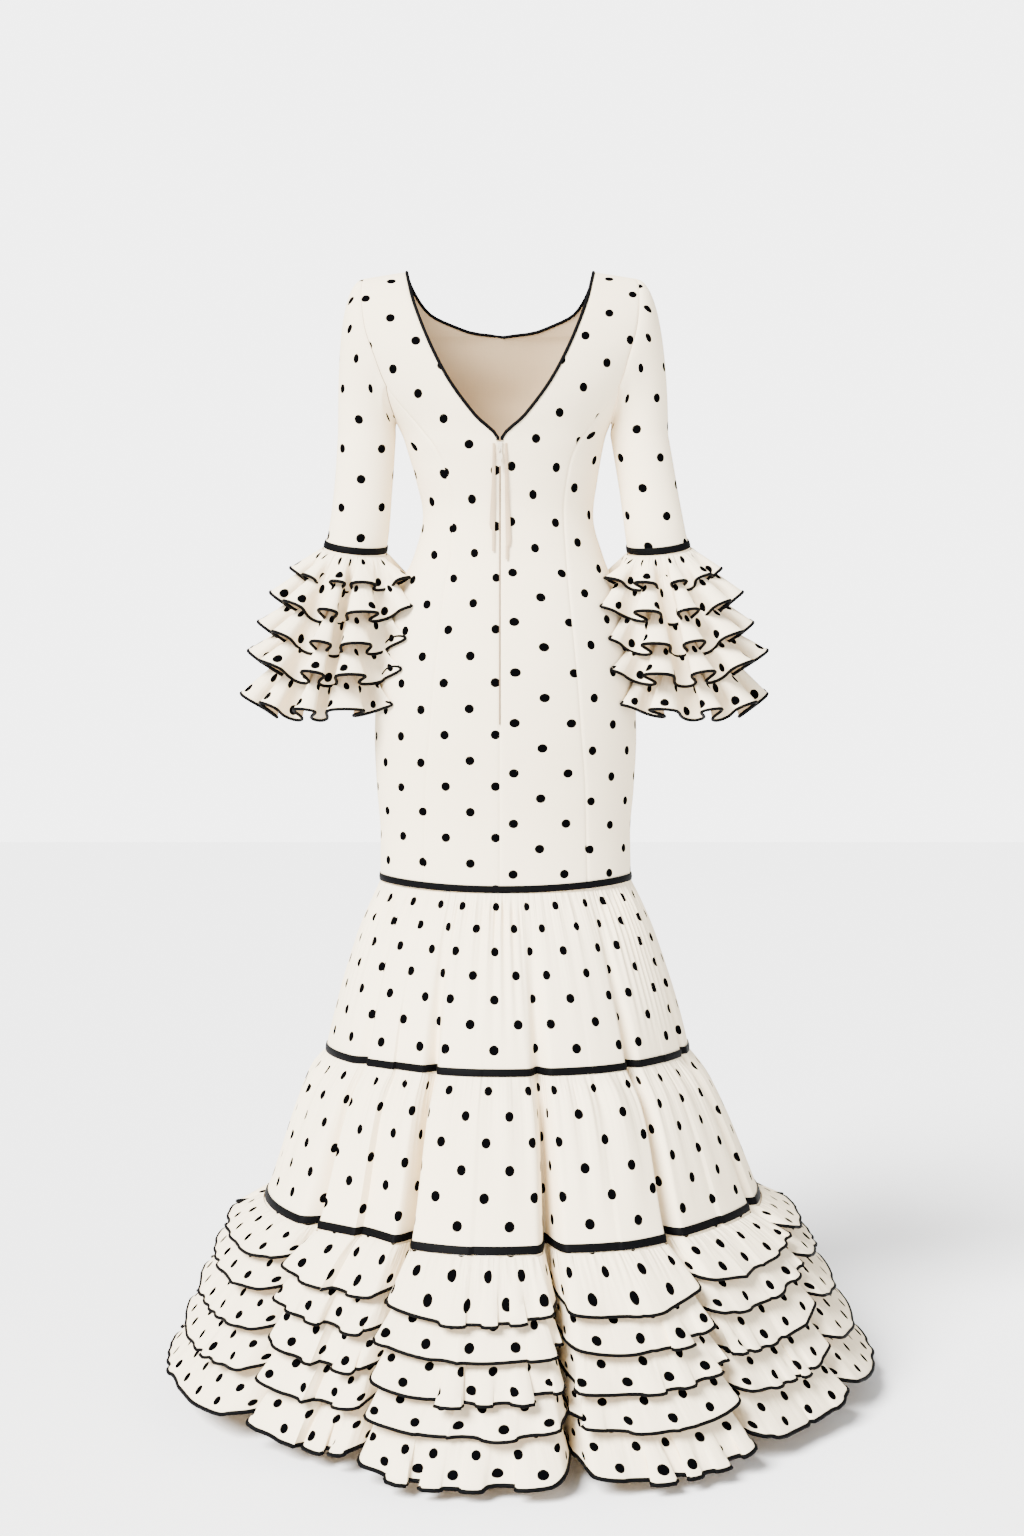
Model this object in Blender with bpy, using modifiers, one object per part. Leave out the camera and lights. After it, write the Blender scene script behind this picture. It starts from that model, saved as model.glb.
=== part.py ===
"""A flamenco dress in its worn form, with nobody in it: metres, Z up.

The front faces -Y, the back with its deep V and zip faces +Y, and the wearer's left is +X.
The origin lies between the shoulders at the height of the shoulder seams, where the dress is carried.
Every piece of cloth is a thin wall: a surface worked out from sections, with a copy of it moved in.
Columns of a surface run anticlockwise seen from above and its rows run upwards, so it faces out.
"""

import collections
from math import asin, cos, pi, radians, sin

import bmesh
import bpy
import numpy as np
from mathutils import Matrix, Vector

CLOTH = 0.0018  # wall of the dress's cloth
RIBBON = 0.0012  # wall of the black bands and of the hanger loops
GAP = 0.0003  # between pieces that touch
BAND_HEIGHT = 0.009  # black ribbon round the elbows and the skirt
SIDES = {"left": 1, "right": -1}  # the wearer's own, as the sign of X
ROUNDNESS = 2.15  # exponent of the body's cross-sections, where 2 is an ellipse


def table(names, *rows):
    """The columns of a table by name, each as an array in the order of the rows."""
    return {name: np.array(column) for name, column in zip(names.split(), zip(*rows))}


# Bodice and fitted skirt: half width, depth behind and in front of the side seams, and the sideways
# shift of the section's middle. Above the underarm the width is that of the whole shoulder yoke.
BODY = table(
    "height   width   back    front   shift",
    (-0.8110, 0.1650, 0.1140, 0.1130, -0.0010),
    (-0.7444, 0.1640, 0.1140, 0.1120, -0.0005),
    (-0.6800, 0.1690, 0.1180, 0.1120, -0.0005),
    (-0.6125, 0.1722, 0.1250, 0.1110, -0.0007),
    (-0.5500, 0.1705, 0.1270, 0.1090, -0.0010),
    (-0.4900, 0.1640, 0.1210, 0.1060, -0.0015),
    (-0.4300, 0.1490, 0.1070, 0.1020, -0.0020),
    (-0.3751, 0.1247, 0.0880, 0.0960, -0.0045),
    (-0.3223, 0.1122, 0.0800, 0.0940, -0.0040),
    (-0.2700, 0.1207, 0.0870, 0.1140, -0.0020),
    (-0.2375, 0.1282, 0.0925, 0.1270, 0.0000),
    (-0.2050, 0.1370, 0.0970, 0.1290, 0.0015),
    (-0.1600, 0.1720, 0.0990, 0.1200, 0.0030),
    (-0.1200, 0.2000, 0.0950, 0.1020, 0.0045),
    (-0.0800, 0.2180, 0.0850, 0.0830, 0.0055),
    (-0.0450, 0.2280, 0.0660, 0.0620, 0.0060),
    (-0.0200, 0.2320, 0.0420, 0.0400, 0.0065),
    (-0.0060, 0.2350, 0.0200, 0.0200, 0.0065),
    (0.0000, 0.2350, 0.0000, 0.0000, 0.0065),
)
# Princess line from the hem of the fitted skirt to the underarm, then the back and front armholes
# up to the shoulder, all as distances from the section's middle.
OUTER_EDGE = table(
    "height   back    front",
    (-0.8110, 0.1050, 0.1050),
    (-0.6800, 0.1020, 0.1020),
    (-0.5500, 0.0920, 0.0940),
    (-0.4300, 0.0800, 0.0820),
    (-0.3751, 0.0740, 0.0740),
    (-0.3223, 0.0720, 0.0720),
    (-0.2700, 0.0800, 0.0780),
    (-0.2375, 0.0920, 0.0900),
    (-0.2050, 0.1130, 0.1100),
    (-0.1600, 0.1510, 0.1470),
    (-0.1200, 0.1650, 0.1560),
    (-0.0800, 0.1765, 0.1650),
    (-0.0450, 0.1805, 0.1740),
    (-0.0200, 0.1815, 0.1790),
    (-0.0060, 0.1810, 0.1805),
    (0.0000, 0.1800, 0.1800),
)
CENTRE_BACK = 0.0065  # X of the zip and of the point of the V
# Half width of the V back and of the round front neck
V_NECK = table(
    "height   half",
    (-0.2415, 0.0000),
    (-0.2050, 0.0330),
    (-0.1600, 0.0660),
    (-0.1200, 0.0870),
    (-0.0800, 0.1035),
    (-0.0450, 0.1150),
    (-0.0200, 0.1205),
    (-0.0060, 0.1235),
    (0.0000, 0.1245),
)
FRONT_NECK = table(
    "height   half",
    (-0.0700, 0.0000),
    (-0.0680, 0.0330),
    (-0.0620, 0.0580),
    (-0.0450, 0.0980),
    (-0.0200, 0.1175),
    (-0.0060, 0.1235),
    (0.0000, 0.1245),
)
# Rows of points on the panels: heights at the centre back, the side seams and the centre front
FITTED_ROWS = table(
    "back     side     front",
    (-0.8110, -0.8000, -0.8000),
    (-0.8020, -0.7910, -0.7910),
    (-0.7444, -0.7400, -0.7400),
    (-0.6800, -0.6800, -0.6800),
    (-0.6125, -0.6125, -0.6125),
    (-0.5500, -0.5500, -0.5500),
    (-0.4900, -0.4900, -0.4900),
    (-0.4300, -0.4300, -0.4300),
    (-0.3751, -0.3751, -0.3751),
    (-0.3223, -0.3223, -0.3223),
    (-0.2700, -0.2700, -0.2700),
    (-0.2415, -0.2415, -0.2415),
    (-0.2050, -0.2180, -0.2050),
)
YOKE_ROWS = {
    "back": (-0.16, -0.12, -0.08, -0.045, -0.02, -0.006, 0.0),
    "front": (-0.16, -0.11, -0.07, -0.068, -0.062, -0.045, -0.02, -0.006, 0.0),
}
UNDERARM = -0.2000  # height of the armhole at the side seam
UNDER_FRONT_NECK = 0.11  # the front neck leans over to the back's centre line above this depth
ZIP_ROWS = (4, 11)  # the fitted rows where the zip ends and begins
PLACKET = 0.011  # the strip beside the centre back that the zip tape lies behind
PANEL_STEPS = 3  # across a centre panel, besides the placket
SIDE_STEPS = 3  # across a side panel
SHOULDER_SLOPE = 0.16
NECK_POINT = 0.123  # distance from the middle where the shoulder slope begins
# How much of the shoulder slope each height takes
SLOPING = table("height share", (-0.16, 0.0), (-0.12, 0.15), (-0.08, 0.35), (-0.045, 0.6), (0.0, 1.0))

# Fitted sleeve below its head: centre, radius, how far the ring is turned square to the forearm, and
# how far both sleeves are shifted to the wearer's left
SLEEVE = table(
    "height   centre  behind  radius  turn  shift",
    (-0.2150, 0.1795, 0.0000, 0.0382, 0.00, 0.0025),
    (-0.2800, 0.1868, 0.0040, 0.0382, 0.35, -0.0008),
    (-0.3488, 0.1951, 0.0131, 0.0396, 1.00, -0.0026),
    (-0.3580, 0.1972, 0.0120, 0.0400, 1.00, -0.0026),
)
SLEEVE_HEAD = (0.0, 0.12, 0.27, 0.5, 0.75)  # rings over the sleeve head, as shares of its length
HEAD_FULLNESS = 0.48  # how far the sleeve head stands out before it turns down
ELBOW = np.array((0.1972, 0.0120, -0.3580))
WRIST = np.array((0.2460, -0.0150, -0.5750))
FOREARM_SHIFT = -0.0026
RING_DIP = radians(15)  # the forearm's rings hang lower behind
RING_RISE = 0.10  # and stand a little higher on the outside
LOWER_SLEEVE_LENGTH = 0.158
LOWER_SLEEVE_RADIUS = (0.0405, 0.0500)
LOWER_SLEEVE_SIDES = 20
# Sleeve ruffles: distance down the forearm of the seam and of the hem, the hem's radius away from the
# body and against the hip, the height of its waves, and how far the hem rises at a wave
SLEEVE_RUFFLES = table(
    "seam   hem    radius  against_hip  wave    lift",
    (0.003, 0.045, 0.0680, 0.0600, 0.0100, 0.0025),
    (0.028, 0.081, 0.0810, 0.0585, 0.0125, 0.0055),
    (0.068, 0.122, 0.0880, 0.0575, 0.0135, 0.0060),
    (0.108, 0.163, 0.0940, 0.0595, 0.0145, 0.0060),
    (0.148, 0.214, 0.0980, 0.0680, 0.0155, 0.0060),
)
SLEEVE_WAVES = 10
WAVE_POINTS = 5
WAVE_FIRST = 0.5  # share of a wave by which the first one is turned
WAVE_OVERHANG = 0.10  # of a wave's length, so that the folds stand wider than their necks
HIP_BULGE = 0.16  # the cloth that the hip pushes back gathers behind it
RESTING = (0.73, 0.88)  # from where to where, as the inward cosine, a ruffle comes to lie on the hip
CALM = 0.1  # share of the waves left where it lies there

# Skirt: half width, depth behind and in front, sideways shift, how much lower the ring is behind, and
# the depth of its large folds
SKIRT_RINGS = {
    name: dict(zip(("height", "width", "back", "front", "shift", "dip", "fold"), row))
    for name, row in {
        "tier_1_top": (-0.8003, 0.1650, 0.1140, 0.1130, -0.0010, 0.0110, 0.000),
        "tier_1_middle": (-0.8700, 0.1955, 0.1650, 0.1620, -0.0015, 0.0080, 0.004),
        "tier_1_band": (-1.0125, 0.2365, 0.2290, 0.2240, -0.0033, 0.0020, 0.013),
        "tier_1_bottom": (-1.0215, 0.2380, 0.2310, 0.2260, -0.0033, 0.0020, 0.014),
        "tier_2_middle": (-1.0610, 0.2655, 0.2600, 0.2540, -0.0045, 0.0025, 0.020),
        "tier_2_band": (-1.1995, 0.3200, 0.3210, 0.3120, -0.0099, 0.0040, 0.044),
        "tier_2_bottom": (-1.2085, 0.3235, 0.3250, 0.3155, -0.0099, 0.0040, 0.045),
    }.items()
}
# The folds between the lobes of the skirt: direction of each from the centre back towards the wearer's
# right, at the first tier and at the hem, its relative depth, and how far the lobe after it stands out
FOLDS = table(
    "above  hem   depth  lobe",
    (-50, -43.0, 0.6, -0.35),
    (-21, -21.5, 1.2, 0.20),
    (10, 10.0, 1.0, 0.20),
    (39, 36.0, 1.2, -0.10),
    (72, 61.0, 0.6, 0.00),
    (98, 87.0, 0.8, 0.00),
    (122, 113.0, 1.0, 0.00),
    (145, 139.0, 0.8, 0.10),
    (168, 165.0, 1.0, 0.10),
    (190, 190.0, 0.8, 0.10),
    (213, 216.0, 1.0, 0.00),
    (237, 241.0, 0.8, 0.00),
    (262, 265.0, 1.0, 0.00),
    (286, 291.0, 0.8, 0.00),
)
# Points across one lobe: place between its two folds, share of the fold's depth, share of the
# sideways tuck by which the lobe leans over the fold, and how much room a layer over it is given
LOBE = table(
    "place fold  tuck  room",
    (0.00, 1.00, 0.0, 2.0),
    (0.12, 0.45, -1.0, 1.0),
    (0.34, 0.00, -0.3, 1.0),
    (0.66, 0.00, 0.3, 1.0),
    (0.88, 0.45, 1.0, 1.0),
)
TUCK = 0.05  # sideways lean of a lobe as a share of the fold's depth
APEX = np.array((0.0243, 0.0, -0.5299))  # the skirt base is a cone with folds that all run to here
BASE_BOTTOM = -1.3750
# Hem ruffles: heights at the side of the seam and the hem, how much lower each is behind, and how far
# the hem stands out from the base on a lobe and in a fold
HEM_RUFFLES = table(
    "seam     seam_dip  hem      hem_dip  lobe   valley",
    (-1.2112, 0.000, -1.2400, 0.031, 0.034, 0.011),
    (-1.2240, 0.026, -1.2720, 0.036, 0.036, 0.012),
    (-1.2560, 0.034, -1.3160, 0.030, 0.036, 0.012),
    (-1.2990, 0.029, -1.3620, 0.018, 0.036, 0.012),
    (-1.3450, 0.019, -1.4110, 0.014, 0.036, 0.012),
)

BINDING_RADIUS = 0.0014
BINDING_FROM_V = 0.0060  # half width of the V where the binding begins beside the zip

ZIP_TAPE = 0.0010
SLIDER_WIDTH = 0.0074
SLIDER_HEIGHT = 0.0145
SLIDER_DEPTH = 0.0022
SLIDER_TOP = -0.2380
BRIDGE_BELOW_TOP = 0.0105  # from the slider's top to the pull's axis
BRIDGE_REACH = 0.0019  # from the pull's axis to the middle of the bridge's wire
BRIDGE_RADIUS = 0.0006
AXIS_OUT = 0.0011  # from the slider's face to the pull's axis
PULL_DEPTH = 0.0010
PULL_EYE = (0.0005, 0.0040, 0.0011)  # its near and far edge from the axis, and its half width
# Outline of the pull from the axis down: distance and half width
PULL_OUTLINE = table(
    "down     half",
    (-0.0006, 0.0023),
    (0.0048, 0.0026),
    (0.0060, 0.0032),
    (0.0110, 0.0032),
    (0.0124, 0.0014),
    (0.0145, 0.0014),
    (0.0160, 0.0020),
    (0.0190, 0.0020),
    (0.0202, 0.0010),
)
# Hanger loops: height, distance of the middle from the centre back, half width, and how far it
# hangs from the cloth
HANGER_LOOPS = {
    "left": table(
        "height   middle  half    off",
        (-0.2400, 0.0075, 0.0014, 0.0003),
        (-0.2550, 0.0075, 0.0017, 0.0012),
        (-0.2900, 0.0080, 0.0021, 0.0022),
        (-0.3420, 0.0098, 0.0034, 0.0024),
        (-0.3480, 0.0092, 0.0026, 0.0024),
        (-0.3500, 0.0080, 0.0017, 0.0024),
        (-0.3770, 0.0082, 0.0017, 0.0024),
    ),
    "right": table(
        "height   middle  half    off",
        (-0.2400, 0.0075, 0.0014, 0.0003),
        (-0.2550, 0.0080, 0.0017, 0.0012),
        (-0.2900, 0.0085, 0.0021, 0.0022),
        (-0.3620, 0.0108, 0.0034, 0.0024),
        (-0.3690, 0.0102, 0.0026, 0.0024),
        (-0.3710, 0.0090, 0.0017, 0.0024),
        (-0.3880, 0.0088, 0.0017, 0.0024),
    ),
}

COLOURS = {
    "ivory_crepe": ((0.90, 0.86, 0.78, 1.0), 0.85, 0.0),
    "black_ribbon": ((0.012, 0.011, 0.012, 1.0), 0.55, 0.0),
    "cream_ribbon": ((0.80, 0.72, 0.60, 1.0), 0.45, 0.0),
    "cream_metal": ((0.86, 0.82, 0.74, 1.0), 0.30, 0.3),
}


def read(rows, name, at, by="height"):
    """The value of a column at a height between two rows."""
    return float(np.interp(at, rows[by], rows[name]))


def unit(vector):
    return vector / np.linalg.norm(vector)


def smooth(share):
    share = min(max(share, 0.0), 1.0)
    return share * share * (3.0 - 2.0 * share)


def key(point):
    """The same key for points that meet at a seam."""
    return tuple(int(round(value * 1e6)) for value in point)


# ---- surfaces and walls ----


def weld(*grids):
    """One surface from grids of points that may share edges: its points and its faces of four corners."""
    points, faces, places = [], [], {}
    for grid in grids:
        index = np.empty(grid.shape[:2], int)
        for place in np.ndindex(index.shape):
            name = key(grid[place])
            if name not in places:
                places[name] = len(points)
                points.append(grid[place])
            index[place] = places[name]
        for row, column in np.ndindex(index.shape[0] - 1, index.shape[1] - 1):
            low, high = index[row], index[row + 1]
            faces.append((low[column], low[column + 1], high[column + 1], high[column]))
    return np.array(points), faces


def closed(ring):
    """A ring of points with its first point again at its end."""
    return np.concatenate((ring, ring[:1]))


def surface_normals(points, faces):
    normals = np.zeros(points.shape)
    for face in faces:
        a, b, c, d = points[list(face)]
        normals[list(face)] += np.cross(c - a, d - b)
    return normals / np.linalg.norm(normals, axis=1)[:, None]


def shared_normals(surfaces):
    """Normals for several surfaces by name, the same on both sides of each seam between them."""
    sums = collections.defaultdict(lambda: np.zeros(3))
    for points, faces in surfaces.values():
        for point, normal in zip(points, surface_normals(points, faces)):
            sums[key(point)] += normal
    return {
        name: np.array([unit(sums[key(point)]) for point in points])
        for name, (points, faces) in surfaces.items()
    }


def rim(faces):
    """The edges of a surface that only one face has, each with that face."""
    edges = {}
    for face in faces:
        for start, end in zip(face, face[1:] + face[:1]):
            edges[start, end] = face
    return {edge: face for edge, face in edges.items() if edge[::-1] not in edges}


def drawn_in(points, faces, amount):
    """The points with the surface's edges drawn in by an amount, which parts it from its neighbours."""
    inwards = collections.defaultdict(list)
    for (start, end), face in rim(faces).items():
        along = unit(points[end] - points[start])
        across = points[list(face)].mean(axis=0) - points[start]
        across = unit(across - along * across.dot(along))
        inwards[start].append(across)
        inwards[end].append(across)
    moved = points.copy()
    for index, (first, second) in inwards.items():
        moved[index] += amount * (first + second) / (1.0 + first.dot(second))
    return moved


def add_mesh(name, points, faces, material):
    mesh = bpy.data.meshes.new(name)
    mesh.from_pydata([tuple(point) for point in points], [], faces)
    mesh.materials.append(MATERIALS[material])
    piece = bpy.data.objects.new(name, mesh)
    dress.objects.link(piece)
    mesh.shade_smooth()
    mesh.set_sharp_from_angle(angle=radians(60))
    return piece


def wall(name, points, faces, normals, thickness, material):
    """A closed wall: the surface, its copy moved in along the normals, and the rim between them."""
    count = len(points)
    corners = [list(half) for a, b, c, d in faces for half in ((a, b, c), (a, c, d))]
    inner = [[count + index for index in reversed(half)] for half in corners]
    sides = []
    for start, end in rim(faces):
        sides += [[end, start, count + start], [end, count + start, count + end]]
    both = np.concatenate((points, points - normals * thickness))
    return add_mesh(name, both, [list(map(int, face)) for face in corners + inner + sides], material)


def ribbon(name, grid, normals, off, thickness, material):
    """A wall that lies on a grid of points, moved out from it along the grid's own normals."""
    surface, faces = weld(grid)
    lifts = {key(point): normal for point, normal in zip(grid.reshape(-1, 3), normals.reshape(-1, 3))}
    lift = np.array([lifts[key(point)] for point in surface])
    return wall(name, surface + lift * (off + thickness), faces, lift, thickness, material)


# ---- bodice, fitted skirt and neck ----


def section_point(height, place, side, face):
    """A point of the body's section at a height: place is the angle from the centre back or front."""
    across = read(BODY, "width", height) * abs(sin(place)) ** (2 / ROUNDNESS)
    depth = read(BODY, face, height) * max(cos(place), 0.0) ** (2 / ROUNDNESS)
    across = -across if place < 0 else across
    drop = read(SLOPING, "share", height) * SHOULDER_SLOPE * max(across - NECK_POINT, 0.0)
    outwards = 1 if face == "back" else -1
    return np.array((read(BODY, "shift", height) + side * across, outwards * depth, height - drop))


def angle_at(height, across):
    """The section angle at a distance from the section's middle."""
    share = min(abs(across) / read(BODY, "width", height), 1.0)
    angle = asin(share ** (ROUNDNESS / 2))
    return -angle if across < 0 else angle


def row_heights(face):
    """Heights of a panel's rows at its centre line and at the side seam, up to the underarm."""
    return list(zip(FITTED_ROWS[face], FITTED_ROWS["side"]))


def centre_edge(height, side, face):
    """Distance of the centre line or the neck's edge from the section's middle."""
    half = read(V_NECK if face == "back" else FRONT_NECK, "half", height)
    middle = CENTRE_BACK * (1.0 if face == "back" else max(0.0, 1.0 + height / UNDER_FRONT_NECK))
    return half + side * (middle - read(BODY, "shift", height))


def tilted(height, side_height, place, side, face):
    """Height of a row's point: the row runs from its centre height to its height at the side."""
    first = angle_at(height, centre_edge(height, side, face))
    return height + (side_height - height) * smooth((place - first) / (pi / 2 - first))


def centre_grid(side, face):
    """Centre panel from the centre line or neck edge to the princess line or armhole, both included."""
    grid = []
    rows = row_heights(face) + [(height, None) for height in YOKE_ROWS[face]]
    for height, side_height in rows:
        inner = centre_edge(height, side, face)
        outer = read(OUTER_EDGE, face, height)
        first, last = angle_at(height, inner), angle_at(height, outer)
        places, steps = [first], PANEL_STEPS + 1
        if face == "back" and side_height is not None:
            first = angle_at(height, inner + PLACKET)
            places, steps = places + [first], PANEL_STEPS
        places += [first + (last - first) * step / steps for step in range(1, steps + 1)]
        line = []
        for place in places:
            here = height if side_height is None else tilted(height, side_height, place, side, face)
            line.append(section_point(here, place, side, face))
        grid.append(line)
    return np.array(grid)


def side_grid(side, face):
    """Side panel from the princess line to the side seam, up to the armhole."""
    grid = []
    for height, side_height in row_heights(face):
        first = angle_at(height, read(OUTER_EDGE, face, height))
        line = []
        for step in range(SIDE_STEPS + 1):
            place = first + (pi / 2 - first) * step / SIDE_STEPS
            here = tilted(height, side_height, place, side, face)
            line.append(section_point(here, place, side, face))
        grid.append(line)
    junction = YOKE_ROWS[face][0]
    first = angle_at(junction, read(OUTER_EDGE, face, junction))
    line = []
    for step in range(SIDE_STEPS + 1):
        share = step / SIDE_STEPS
        here = junction + (UNDERARM - junction) * sin(share * pi / 2)
        line.append(section_point(here, first + (pi / 2 - first) * share, side, face))
    grid.append(line)
    return np.array(grid)


def facing_out(grid, side, face):
    """The grid with its columns anticlockwise: it is built from the centre line outwards."""
    clockwise = (side == 1) == (face == "back")
    return grid[:, ::-1] if clockwise else grid


def body_grids():
    """Grids of the panels by side, face and part, before they are turned to face out."""
    return {
        (name, face, part): make(side, face)
        for name, side in SIDES.items()
        for face in ("back", "front")
        for part, make in (("centre", centre_grid), ("side", side_grid))
    }


def body_surfaces(grids):
    turned = {place: facing_out(grid, SIDES[place[0]], place[1]) for place, grid in grids.items()}
    surfaces = {"front": weld(*(grid for place, grid in turned.items() if place[1] == "front"))}
    for name in SIDES:
        surfaces[f"back_{name}"] = weld(turned[name, "back", "centre"])
        surfaces[f"side_back_{name}"] = weld(turned[name, "back", "side"])
    return surfaces


def body_ring(grids, row):
    """One row of points right round the fitted skirt, anticlockwise from the centre back."""
    ring = []
    quarters = (("right", "back", 1), ("right", "front", -1), ("left", "front", 1), ("left", "back", -1))
    for name, face, turn in quarters:
        line = np.concatenate((grids[name, face, "centre"][row], grids[name, face, "side"][row][1:]))
        ring += list(line[::turn][:-1])
    return np.array(ring)


def normal_finder(surfaces):
    """Looks up the shared normal of a point of any of the surfaces."""
    found = {}
    for name, normals in shared_normals(surfaces).items():
        found.update(zip(map(key, surfaces[name][0]), normals))

    def normal_at(points):
        normals = [found[key(point)] for point in points.reshape(-1, 3)]
        return np.array(normals).reshape(points.shape)

    return normal_at


def build_neck_binding(grids, normal_at):
    """A thin round binding along the whole neck edge, from one side of the zip to the other."""
    path = []
    for name, turn in (("left", 1), ("right", -1)):
        side = SIDES[name]
        back = grids[name, "back", "centre"][ZIP_ROWS[1]:]
        front = grids[name, "front", "centre"]
        front = front[len(FITTED_ROWS["front"]) + YOKE_ROWS["front"].index(-0.07):]
        edge = np.concatenate((back[:, 0], front[::-1][1:, 0]))
        line = []
        for index, point in enumerate(edge):
            before, after = edge[max(index - 1, 0)], edge[min(index + 1, len(edge) - 1)]
            if index == len(edge) - 1:
                after = before * (-1, 1, 1)
            along = unit(after - before)
            normal = normal_at(point[None])[0]
            away = np.cross(along, normal)
            opening = np.array((CENTRE_BACK, point[1], 0.0))
            away = away if away.dot(opening - point) > 0 else -away
            line.append(point + unit(away) * (GAP + BINDING_RADIUS) - normal * CLOTH / 2)
        start = line[0] + (line[1] - line[0]) * BINDING_FROM_V / abs(edge[1][0] - edge[0][0])
        line[0] = start
        path += line if turn == 1 else line[::-1][1:]
    curve = bpy.data.curves.new("neck_binding", "CURVE")
    curve.dimensions = "3D"
    spline = curve.splines.new("POLY")
    spline.points.add(len(path) - 1)
    for point, place in zip(spline.points, path):
        point.co = (*place, 1.0)
    curve.bevel_depth = BINDING_RADIUS
    curve.bevel_resolution = 1
    curve.use_fill_caps = True
    curve.materials.append(MATERIALS["black_ribbon"])
    dress.objects.link(bpy.data.objects.new("neck_binding", curve))


# ---- zip and hanger loops ----


def centre_back_frame(grids, height):
    """A point on the centre back at a height, with the cloth's upward and outward directions there."""
    low, high = (grids["left", "back", "centre"][row][0] for row in (ZIP_ROWS[1] - 1, ZIP_ROWS[1]))
    upwards = unit(high - low)
    outwards = unit(np.cross((-1.0, 0.0, 0.0), upwards))
    return low + (high - low) * (height - low[2]) / (high[2] - low[2]), upwards, outwards


def build_zip_tape(grids, normal_at):
    """The closed zip's two tapes as one strip behind the centre back seam."""
    rows = slice(ZIP_ROWS[0], ZIP_ROWS[1] + 1)
    left, right = (grids[name, "back", "centre"][rows] for name in ("left", "right"))
    grid = np.stack((left[:, 1], left[:, 0], right[:, 1]), axis=1)
    ribbon("zip_tape", grid, normal_at(grid), -(CLOTH + GAP + ZIP_TAPE), ZIP_TAPE, "cream_ribbon")


def join(piece, other):
    """Makes one body of two pieces."""
    union = piece.modifiers.new("union", "BOOLEAN")
    union.operation = "UNION"
    union.object = other
    other.hide_render = True
    other.display_type = "WIRE"
    dress.objects.unlink(other)
    cutters.objects.link(other)


def tube_mesh(name, path, radius, material, sides=2):
    """A round wire along a path, as a closed mesh."""
    curve = bpy.data.curves.new(name, "CURVE")
    curve.dimensions = "3D"
    spline = curve.splines.new("POLY")
    spline.points.add(len(path) - 1)
    for point, place in zip(spline.points, path):
        point.co = (*place, 1.0)
    curve.bevel_depth = radius
    curve.bevel_resolution = sides
    curve.use_fill_caps = True
    holder = bpy.data.objects.new(name, curve)
    dress.objects.link(holder)
    evaluated = holder.evaluated_get(bpy.context.evaluated_depsgraph_get())
    mesh = bpy.data.meshes.new_from_object(evaluated)
    bpy.data.objects.remove(holder)
    weld_ends(mesh)
    mesh.materials.clear()
    mesh.materials.append(MATERIALS[material])
    piece = bpy.data.objects.new(name, mesh)
    dress.objects.link(piece)
    return piece


def weld_ends(mesh):
    shape = bmesh.new()
    shape.from_mesh(mesh)
    bmesh.ops.remove_doubles(shape, verts=shape.verts, dist=1e-6)
    shape.to_mesh(mesh)
    shape.free()


def build_slider(grids):
    """The zip's slider with its bridge, and the pull that turns on it, hanging straight down."""
    top, upwards, outwards = centre_back_frame(grids, SLIDER_TOP)
    frame = Matrix((
        (-1.0, outwards[0], upwards[0], top[0]),
        (0.0, outwards[1], upwards[1], top[1]),
        (0.0, outwards[2], upwards[2], top[2]),
        (0.0, 0.0, 0.0, 1.0),
    ))
    bpy.ops.mesh.primitive_cube_add(size=1)
    slider = bpy.context.object
    slider.name = slider.data.name = "zip_slider"
    middle = Vector((0.0, GAP + SLIDER_DEPTH / 2, -SLIDER_HEIGHT / 2))
    slider.data.transform(
        Matrix.Translation(middle) @ Matrix.Diagonal((SLIDER_WIDTH, SLIDER_DEPTH, SLIDER_HEIGHT, 1.0))
    )
    for vertex in slider.data.vertices:
        if vertex.co.z < middle.z:
            vertex.co.x *= 0.7
    slider.data.transform(frame)
    slider.data.materials.append(MATERIALS["cream_metal"])
    for collection in slider.users_collection:
        collection.objects.unlink(slider)
    dress.objects.link(slider)
    bevel = slider.modifiers.new("rounded", "BEVEL")
    bevel.width = 0.0006
    bevel.segments = 2
    face = GAP + SLIDER_DEPTH
    axis_out = face + AXIS_OUT
    axis_down = -BRIDGE_BELOW_TOP
    foot = face - 0.0008
    head = axis_out + BRIDGE_REACH
    corner = BRIDGE_REACH * 0.55
    path = [
        (0.0, foot, axis_down - BRIDGE_REACH),
        (0.0, head - corner, axis_down - BRIDGE_REACH),
        (0.0, head, axis_down - BRIDGE_REACH + corner),
        (0.0, head, axis_down + BRIDGE_REACH - corner),
        (0.0, head - corner, axis_down + BRIDGE_REACH),
        (0.0, foot, axis_down + BRIDGE_REACH),
    ]
    bridge = tube_mesh("bridge", [frame @ Vector(point) for point in path], BRIDGE_RADIUS, "cream_metal")
    join(slider, bridge)

    axis = frame @ Vector((0.0, axis_out, axis_down))
    outline = bpy.data.curves.new("zip_pull", "CURVE")
    outline.dimensions = "2D"
    outline.fill_mode = "BOTH"
    outline.extrude = PULL_DEPTH / 2
    near, far, half = PULL_EYE
    edge = list(zip(PULL_OUTLINE["half"], -PULL_OUTLINE["down"]))
    edge += [(-across, down) for across, down in reversed(edge)]
    for corners in (edge, [(half, -near), (half, -far), (-half, -far), (-half, -near)]):
        spline = outline.splines.new("POLY")
        spline.use_cyclic_u = True
        spline.points.add(len(corners) - 1)
        for point, (across, down) in zip(spline.points, corners):
            point.co = (across, down, 0.0, 1.0)
    outline.materials.append(MATERIALS["cream_metal"])
    pull = bpy.data.objects.new("zip_pull", outline)
    pull.rotation_euler = (pi / 2, 0.0, pi)
    pull.location = axis
    dress.objects.link(pull)
    print("pull axis", tuple(round(value, 5) for value in axis))


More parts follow.
